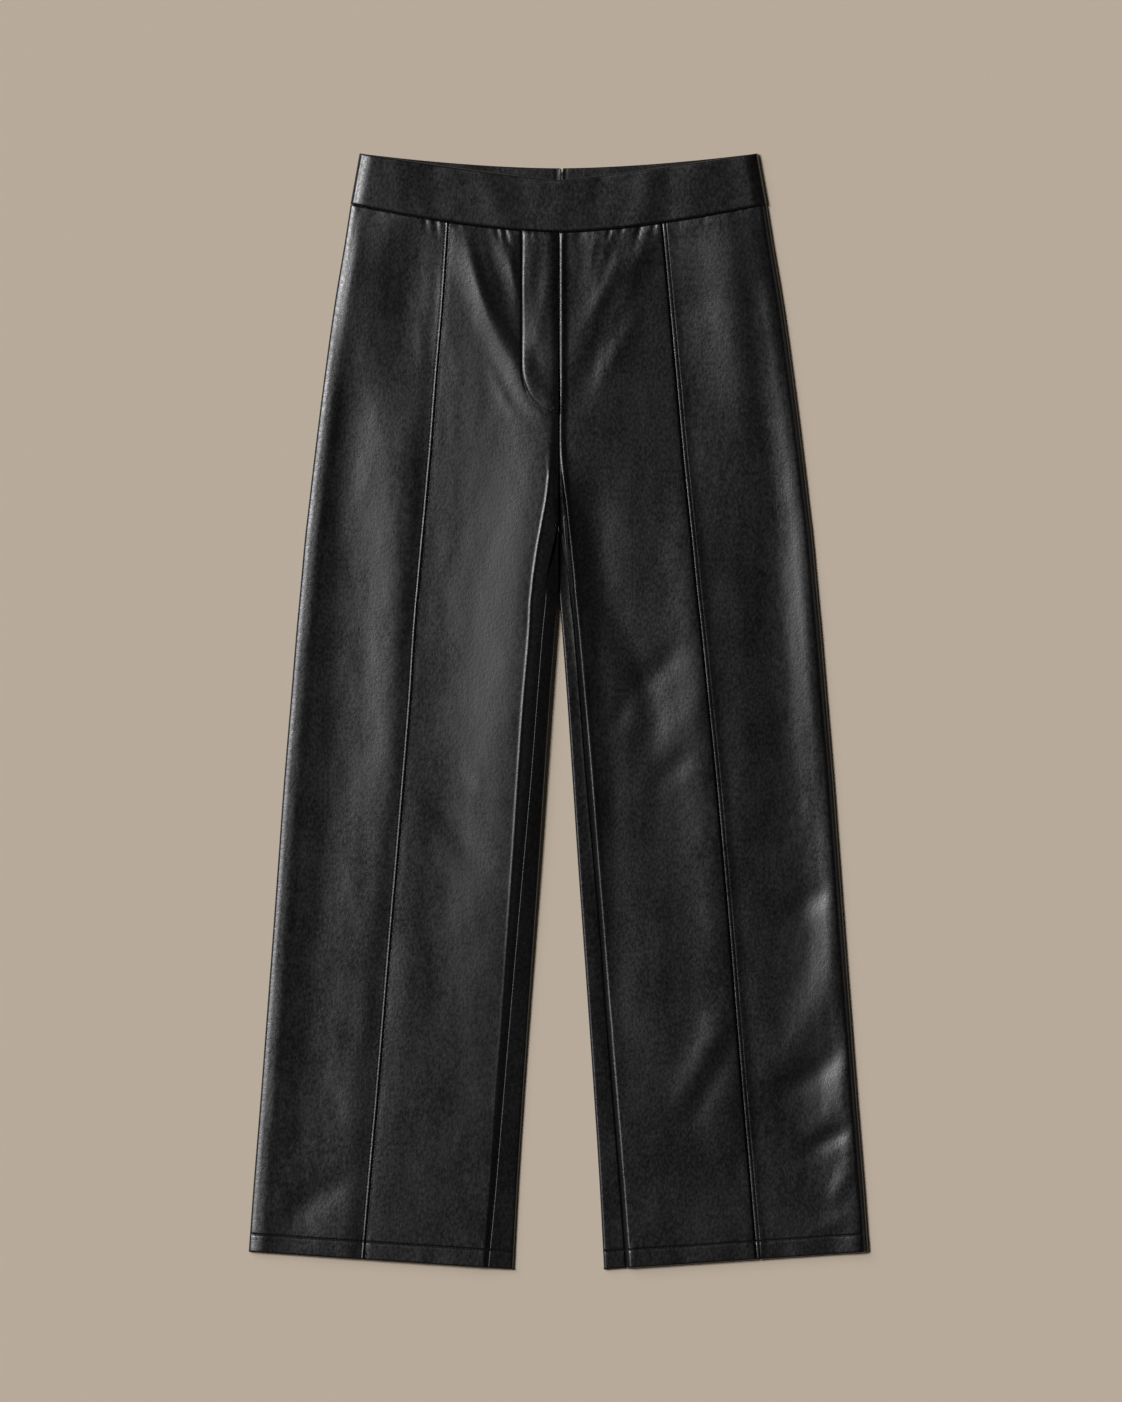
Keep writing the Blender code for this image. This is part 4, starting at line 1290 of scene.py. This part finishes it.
def stitch_leg(side):
    """The hem's line of stitches, and the line that holds the rib of the leg seam."""
    outer_end = LINES["outer"](HEM_SIDE_Y) - HEM_STITCHES["from_side"]
    inner_end = LINES["inner"](HEM_INNER_Y) + HEM_STITCHES["from_inner"]
    x = np.linspace(outer_end, inner_end, HEM_STITCHES["points"])
    path = on_front(side, x, hem_level(x) + HEM_TURN, -HEM_STITCHES["lift"])
    threads.append(stitch_line("hem_stitches_" + side, path))
    y = np.linspace(RIB_TOP_Y, HEM_INNER_Y + RIB_STITCHES["from_hem"], RIB_STITCHES["points"])
    x = LINES["seam_" + side](y) + RIB_WIDTH
    y = np.minimum(y, waist_level(x) - RIB_STITCHES["from_waist"])
    threads.append(stitch_line("rib_stitches_" + side, on_front(side, x, y, RIB_STITCHES["sink"])))


def on_fly(x, y, sink):
    return np.stack((-x, y, fly_surface(x, y) - sink), axis=1)


def stitch_fly():
    """The line inside the curved edge of the fly and the bar tack at its foot."""
    levels, widths = fly_outline()
    inset = FLY_STITCHES["inset"]
    x = widths * (1 - inset / FLY_WIDTH)
    y = row_level(levels, widths) + inset * (1 - widths / FLY_WIDTH)
    x, y = x[FLY_STITCHES["skipped"]:], y[FLY_STITCHES["skipped"]:]
    threads.append(stitch_line("fly_stitches", on_fly(x, y, FLY_STITCHES["sink"])))
    for row in range(BAR_TACK["rows"]):
        x = np.linspace(*BAR_TACK["x"], BAR_TACK_POINTS)
        y = np.linspace(*BAR_TACK["y"], BAR_TACK_POINTS) - row * BAR_TACK["pitch"]
        threads.append(stitch_line("bar_tack_" + str(row + 1), on_fly(x, y, 0)))


for side in DIRECTION:
    stitch_leg(side)
stitch_fly()

# %% [markdown]
# ## The grain of the leather
# Smooth black leather has a fine pebble grain about a millimetre across, with still finer
# pores. Finish wears a little unevenly, so its gloss varies in soft patches. The grain is bump
# from cells and noise on object coordinates, since at this size it is relief of a tenth of a
# millimetre that no mesh should carry. Two small classes let such nodes be written as sums.

# %% Node arithmetic
class Value:
    """A number somewhere in a material. Arithmetic on it adds Math nodes."""

    def __init__(self, finish, socket):
        self.finish = finish
        self.socket = socket

    def math(self, operation, first, second):
        return self.finish.node("ShaderNodeMath", {"operation": operation}, {0: first, 1: second})

    def __add__(self, other):
        return self.math("ADD", self, other)

    def __sub__(self, other):
        return self.math("SUBTRACT", self, other)

    def __rsub__(self, other):
        return self.math("SUBTRACT", other, self)

    def __mul__(self, other):
        return self.math("MULTIPLY", self, other)

    __radd__ = __add__
    __rmul__ = __mul__


class Finish:
    """The shader nodes of a material, or of the surround, under construction."""

    def __init__(self, owner, shader="Principled BSDF"):
        self.owner = owner
        self.owner.use_nodes = True
        self.tree = owner.node_tree
        self.shader = self.tree.nodes[shader]

    def fill(self, sockets, values):
        """Sets sockets, or links them where the value comes from another node."""
        for key, value in values.items():
            if isinstance(value, Value):
                self.tree.links.new(value.socket, sockets[key])
            else:
                sockets[key].default_value = value

    def node(self, kind, settings=None, sockets=None, output=0):
        """Adds a node: its settings first, then the values or links of its sockets."""
        made = self.tree.nodes.new(kind)
        for key, value in (settings or {}).items():
            setattr(made, key, value)
        self.fill(made.inputs, sockets or {})
        return Value(self, made.outputs[output])

    def feed(self, **values):
        """Sets sockets of the shader. An underscore in a name stands for a space."""
        self.fill(self.shader.inputs, {key.replace("_", " "): value for key, value in values.items()})


print("node arithmetic is ready")

# %% [markdown]
# ## Worn places with painted sheen, and pressed places
# Leather is dulled where hands and knees rub it, in broad soft patches, and the same patches
# lighten its colour a little as painted sheen. The iron leaves a narrow glossy strip beside each
# leg seam. Both follow the garment's own lines, so each is stored in the points as an attribute,
# which the material reads. A painted picture would need a file.

# %% Where the leather is rubbed, lightened with painted sheen, and pressed
PRESSED_AT = 1.0 * MM
PRESSED_SPREAD = 1.1 * MM
# Patches where the leather is worn and where its colour is lightened as painted sheen.
WEAR_AND_SHEEN_COLUMNS = ("x", "y", "wide", "long", "strength")
WEAR_AND_SHEEN_PATCHES = (
    (-62, 130, 42, 250, 1.0),
    (-76, -210, 34, 230, 0.5),
    (-172, 120, 34, 230, 0.4),
    (222, 150, 20, 200, 0.5),
    (168, 400, 26, 60, 0.4),
    (238, -270, 24, 120, 0.6),
    (118, 0, 30, 120, 0.3),
)


def store(piece, name, values):
    """Stores one number for each point of a piece."""
    attribute = piece.data.attributes.new(name, "FLOAT", "POINT")
    attribute.data.foreach_set("value", np.clip(values, 0, 1))


def paint_pressed(piece, on_panel):
    """Stores how glossy the iron has left the leather, in a narrow strip beside each leg seam."""
    x, y, _ = read_points(piece).T
    left_of_seam = np.where(x < 0, -LINES["seam_left"](y), LINES["seam_right"](y)) - x
    store(piece, "pressed", on_panel * np.exp(-((left_of_seam - PRESSED_AT) / PRESSED_SPREAD) ** 2))


def paint_wear_and_sheen(piece):
    """Stores how dull each point has been rubbed and how much painted sheen lightens it, from listed soft
    patches.
    """
    x, y, _ = read_points(piece).T / MM
    wear_and_sheen = np.zeros(len(x))
    for row in WEAR_AND_SHEEN_PATCHES:
        patch = dict(zip(WEAR_AND_SHEEN_COLUMNS, row))
        across_patch = (x - patch["x"]) / patch["wide"]
        down_patch = (y - patch["y"]) / patch["long"]
        wear_and_sheen += patch["strength"] * np.exp(-(across_patch ** 2) - down_patch ** 2)
    store(piece, "wear_and_sheen", wear_and_sheen)


for node_name, piece in pieces.items():
    paint_wear_and_sheen(piece)
    paint_pressed(piece, node_name.startswith("front_"))
print("painted", len(pieces), "pieces")

# %% [markdown]
# ## The two leathers and the thread
# The legs and the band are the same black leather, but each keeps a material of its own, as the
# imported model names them. Sizes in the noise nodes count cells to the metre. The leather is so
# dark that nearly all its light is mirrored, so its roughness says more than its colour.

# %% Leather and thread
SHEEN = 0.9
ROUGHNESS = 0.325
GRAIN_DRAWN = (1.0, 0.7, 1.0)
PEBBLE = {"Scale": 820.0, "Smoothness": 0.6}
PORES = {"Scale": 1900.0, "Detail": 2.0}
DRIFT = {"Scale": 400.0, "Detail": 3.0}
PATCHES = {"Scale": 26.0, "Detail": 3.0}
GRAIN_HEIGHTS = {"pebble": 0.25, "pores": 0.15, "drift": 0.75}
GRAIN_DEPTH = 0.18 * MM
GLOSS_CHANGES = {"patches": 0.16, "drift": 0.3, "wear_and_sheen": 0.09, "pressed": 0.8}
DEEP_BLACK = (0.0012, 0.0012, 0.0013, 1)
SOFT_BLACK = (0.0030, 0.0030, 0.0033, 1)
# A lighter black for the worn patches, which paints sheen onto them.
WORN_BLACK_WITH_PAINTED_SHEEN = (0.008, 0.008, 0.009, 1)
THREAD_BLACK = (0.010, 0.010, 0.011, 1)
THREAD_ROUGHNESS = 0.42
THREAD_TWIST = {"Scale": 3000.0, "Detail": 1.0}
THREAD_DEPTH = 0.1 * MM


def noise(finish, place, pattern):
    """Cloudy noise in a pattern of some scale and detail."""
    return finish.node("ShaderNodeTexNoise", None, {"Vector": place, **pattern})


def blend(finish, share, first, second):
    """A colour between two others."""
    return finish.node("ShaderNodeMix", {"data_type": "RGBA"},
                       {"Factor": share, "A": first, "B": second}, output="Result")


def leather_finish(name):
    finish = Finish(bpy.data.materials.new(name))
    place = finish.node("ShaderNodeTexCoord", output="Object")
    drawn = finish.node("ShaderNodeMapping", None, {"Vector": place, "Scale": GRAIN_DRAWN})
    pebble = finish.node("ShaderNodeTexVoronoi", {"feature": "SMOOTH_F1"}, {"Vector": place, **PEBBLE})
    pores = noise(finish, place, PORES)
    drift = noise(finish, drawn, DRIFT)
    patches = noise(finish, drawn, PATCHES)
    wear_and_sheen = finish.node("ShaderNodeAttribute", {"attribute_name": "wear_and_sheen"}, output="Fac")
    pressed = finish.node("ShaderNodeAttribute", {"attribute_name": "pressed"}, output="Fac")
    height = ((1 - pebble) * GRAIN_HEIGHTS["pebble"] + pores * GRAIN_HEIGHTS["pores"]
              + drift * GRAIN_HEIGHTS["drift"])
    bump = finish.node("ShaderNodeBump", None,
                       {"Height": height, "Strength": 0.8, "Distance": GRAIN_DEPTH})
    colour = blend(finish, drift * 0.5 + patches * 0.5, DEEP_BLACK, SOFT_BLACK)
    rough = (ROUGHNESS + (patches - 0.5) * GLOSS_CHANGES["patches"]
             + (drift - 0.5) * GLOSS_CHANGES["drift"] + wear_and_sheen * GLOSS_CHANGES["wear_and_sheen"])
    # Towards the lighter black in the worn patches: painted sheen as well as wear.
    finish.feed(Base_Color=blend(finish, wear_and_sheen, colour, WORN_BLACK_WITH_PAINTED_SHEEN), Normal=bump,
                Roughness=rough * (1 - pressed * GLOSS_CHANGES["pressed"]), Specular_IOR_Level=SHEEN)
    return finish.owner


def thread_finish():
    finish = Finish(bpy.data.materials.new("black_thread"))
    place = finish.node("ShaderNodeTexCoord", output="Object")
    twist = noise(finish, place, THREAD_TWIST)
    bump = finish.node("ShaderNodeBump", None, {"Height": twist, "Strength": 0.5, "Distance": THREAD_DEPTH})
    finish.feed(Base_Color=THREAD_BLACK, Roughness=THREAD_ROUGHNESS + twist * 0.1, Normal=bump)
    return finish.owner


BODY_LEATHER = leather_finish("black_leather")
BAND_LEATHER = leather_finish("black_band_leather")
THREAD = thread_finish()
for node_name, piece in pieces.items():
    piece.data.materials.clear()
    piece.data.materials.append(BAND_LEATHER if "waistband" in node_name else BODY_LEATHER)
for thread in threads:
    thread.data.materials.append(THREAD)
print("materials", [m.name for m in (BODY_LEATHER, BAND_LEATHER, THREAD)])

# %% [markdown]
# ## Floor
# A plain pale floor sets off the black leather and catches its soft shadow. One plane is enough,
# wide enough that no view sees its edge, and a hair below zero so that it never flickers
# through the leather that lies on it. It is stage only and no part of the garment.

# %% Floor
FLOOR_SIZE = 12.0
FLOOR_DROP = 0.4 * MM
bpy.ops.object.select_all(action="DESELECT")
bpy.ops.mesh.primitive_plane_add(size=FLOOR_SIZE, location=(0, 0, -FLOOR_DROP))
floor = bpy.context.object
floor.name = "floor"
pale = Finish(bpy.data.materials.new("pale_floor"))
pale.feed(Base_Color=(0.86, 0.725, 0.58, 1), Roughness=0.85)
floor.data.materials.append(pale.owner)
print("floor", FLOOR_SIZE, "m wide")

# %% [markdown]
# ## Light
# Black leather shows little but what it mirrors, so the height of the high lamp sets which
# slopes shine. A broad weak lamp stands lower on the same side, and the surround is dim, a
# little brighter towards the horizon. Both lamps are suns, very far away, so that one leg is
# lit as the other is. Lamps close by would make one leg brighter.

# %% Lamps
def lamp(name, azimuth, elevation, angle, strength):
    """A soft lamp so far away that its light is even. Azimuth 90 is towards the waist, 180 the left."""
    data = bpy.data.lights.new(name, "SUN")
    data.angle = math.radians(angle)
    data.energy = strength
    turn, lift = math.radians(azimuth), math.radians(elevation)
    way = Vector((math.cos(turn) * math.cos(lift), math.sin(turn) * math.cos(lift), math.sin(lift)))
    add_object(name, data).rotation_euler = way.to_track_quat("Z", "Y").to_euler()


lamp("low_lamp", azimuth=138, elevation=34, angle=30, strength=0.45)
lamp("high_lamp", azimuth=158, elevation=57, angle=17, strength=1.68)
surround = Finish(bpy.data.worlds.new("surround"), "Background")
way = surround.node("ShaderNodeTexCoord", output="Generated")
upward = surround.node("ShaderNodeSeparateXYZ", None, {"Vector": way}, output="Z")
dimming = surround.node("ShaderNodeMapRange", None,
                        {"Value": upward, "From Min": 0.1, "From Max": 0.5, "To Min": 0.14,
                         "To Max": 0.012}, output="Result")
surround.feed(Strength=dimming, Color=(1.0, 0.98, 0.96, 1))
bpy.context.scene.world = surround.owner
print("lamps and surround are lit")

# %% [markdown]
# ## Camera
# The garment is seen from straight above. A long lens well above it keeps the drawn proportions,
# where a short lens close by would show the flanks of the legs.

# %% Camera
LENS = 300.0
SENSOR = 36.0
VIEW_HEIGHT = 1.304
AIM = (2.3 * MM, 9.8 * MM)
AIM_Z = 5 * MM
eye = bpy.data.cameras.new("eye")
eye.lens = LENS
eye.sensor_width = SENSOR
camera = add_object("eye", eye)
camera.location = (*AIM, AIM_Z + VIEW_HEIGHT * LENS / SENSOR)
bpy.context.scene.camera = camera
bpy.context.scene.view_settings.view_transform = "Standard"
print("camera height", round(camera.location.z, 3), "m")

# %% [markdown]
# ## Riding on the body
# Every piece rides on the one rigid body, and the solid that it stands for is hidden. The flat
# size each sheet was cut to is worked out, because a laid sheet hides how much leather is in
# it, and whoever drapes it again needs to know.

def flat_area(piece):
    """Half the surface of a closed sheet, which is the leather that was cut for it."""
    areas = np.empty(len(piece.data.polygons))
    piece.data.polygons.foreach_get("area", areas)
    return areas.sum() / 2


for node_name, piece in pieces.items():
    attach(piece, "root")
    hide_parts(node_name)
    area = round(flat_area(piece), 4)
for thread in threads:
    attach(thread, "root")
